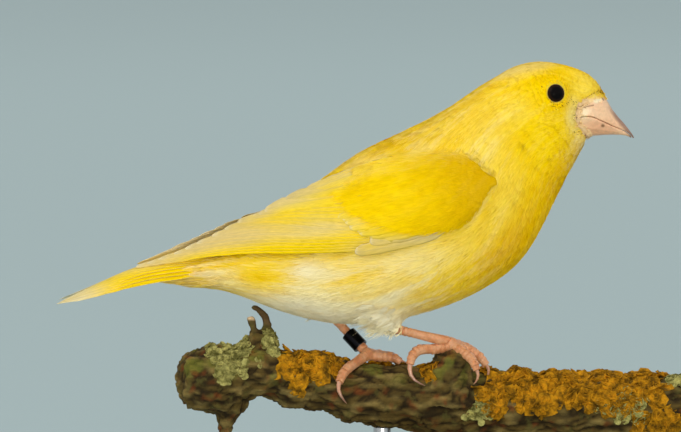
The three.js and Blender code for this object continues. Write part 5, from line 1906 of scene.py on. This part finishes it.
def add_rod(name):
    low, high = (np.array(corner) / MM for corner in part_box(name))
    radius = (high - low)[0] / 2
    top = high[2] - ROD_ROUND
    profile = rounded([(0, low[2]), (radius, low[2]), (radius, top), (0, top)], ROD_ROUND, 4)
    points, triangles = turned(profile, 48)
    mesh = mesh_from(name.replace("stand_", "steel_"), points + [(low + high)[0] / 2, 0, 0], triangles)
    add_dye(mesh, np.tile(STEEL_DYE, (len(points), 1)))
    return add_piece(mesh.name, mesh, STEEL, [name])


add_base()
for name in ("stand_rod_front", "stand_rod_back"):
    add_rod(name)

# %% [markdown]
# ## Studio
# The photo has a plain blue-grey ground and broad soft light. A wide floor in that colour fills
# the frame, because the camera looks slightly down on it. An even sky gives most of the light, and
# a large lamp from the front and above on the tail's side models the form softly. A narrow, weak
# and warm lamp just over the floor lifts the breast and the underside, as the light that a pale
# ground throws back does. A third, high on the far side, keeps the ground and the other side bright.

# %% Floor, light and camera
FLOOR_COLOUR = linear(161, 179, 179)
TARGET = np.array([-22.4, 0.0, 71.8]) * MM
CAMERA = {"distance": 1.2, "elevation": 4.0, "lens": 282.0, "sensor": 36.0}
FLOOR_BRIGHT = 1.13
SKY_STRENGTH = 0.74
# place in metres, width and height, watts, then colour, spread in degrees and aim where needed
LAMPS = {
    "key_lamp": ((-0.8, -1.0, 1.1), (0.9, 0.9), 4.7),
    "fill_lamp": ((0.1, -1.5, 0.04), (0.3, 0.05), 0.22, (1.0, 0.95, 0.86), 24, (-0.02, 0, 0.16)),
    "far_lamp": ((0.6, 2.2, 2.2), (1.2, 1.2), 6.0),
}


def add_floor():
    span = 30.0
    corners = [(-span, -span, 0), (span, -span, 0), (span, span, 0), (-span, span, 0)]
    mesh = bpy.data.meshes.new("floor")
    mesh.from_pydata(corners, [], [(0, 1, 2, 3)])
    material, _, _ = shader("paper_floor", Roughness=0.9, Base_Color=(*FLOOR_COLOUR * FLOOR_BRIGHT, 1))
    mesh.materials.append(material)
    floor = new_object("floor", mesh)


def add_lamp(name, place, size, power, colour=(1, 1, 1), spread=180, aim=TARGET):
    light = bpy.data.lights.new(name, "AREA")
    light.shape = "RECTANGLE"
    light.size, light.size_y = size
    light.energy = power
    light.color = colour
    light.spread = np.radians(spread)
    lamp = new_object(name, light)
    lamp.location = place
    lamp.rotation_euler = (Vector(aim) - Vector(place)).to_track_quat("-Z", "Y").to_euler()


def add_sky(strength):
    world = bpy.data.worlds.new("even_sky")
    world.use_nodes = True
    background = world.node_tree.nodes["Background"]
    background.inputs["Color"].default_value = (0.97, 0.99, 1.0, 1)
    background.inputs["Strength"].default_value = strength
    bpy.context.scene.world = world


def add_camera():
    data = bpy.data.cameras.new("camera")
    data.lens = CAMERA["lens"]
    data.sensor_width = CAMERA["sensor"]
    camera = new_object("camera", data)
    tilt = np.radians(CAMERA["elevation"])
    camera.location = TARGET + CAMERA["distance"] * np.array([0, -np.cos(tilt), np.sin(tilt)])
    camera.rotation_euler = (Vector(TARGET) - camera.location).to_track_quat("-Z", "Y").to_euler()
    bpy.context.scene.camera = camera


add_floor()
add_sky(SKY_STRENGTH)
for name, values in LAMPS.items():
    add_lamp(name, *values)
add_camera()
bpy.context.scene.view_settings.view_transform = "Standard"
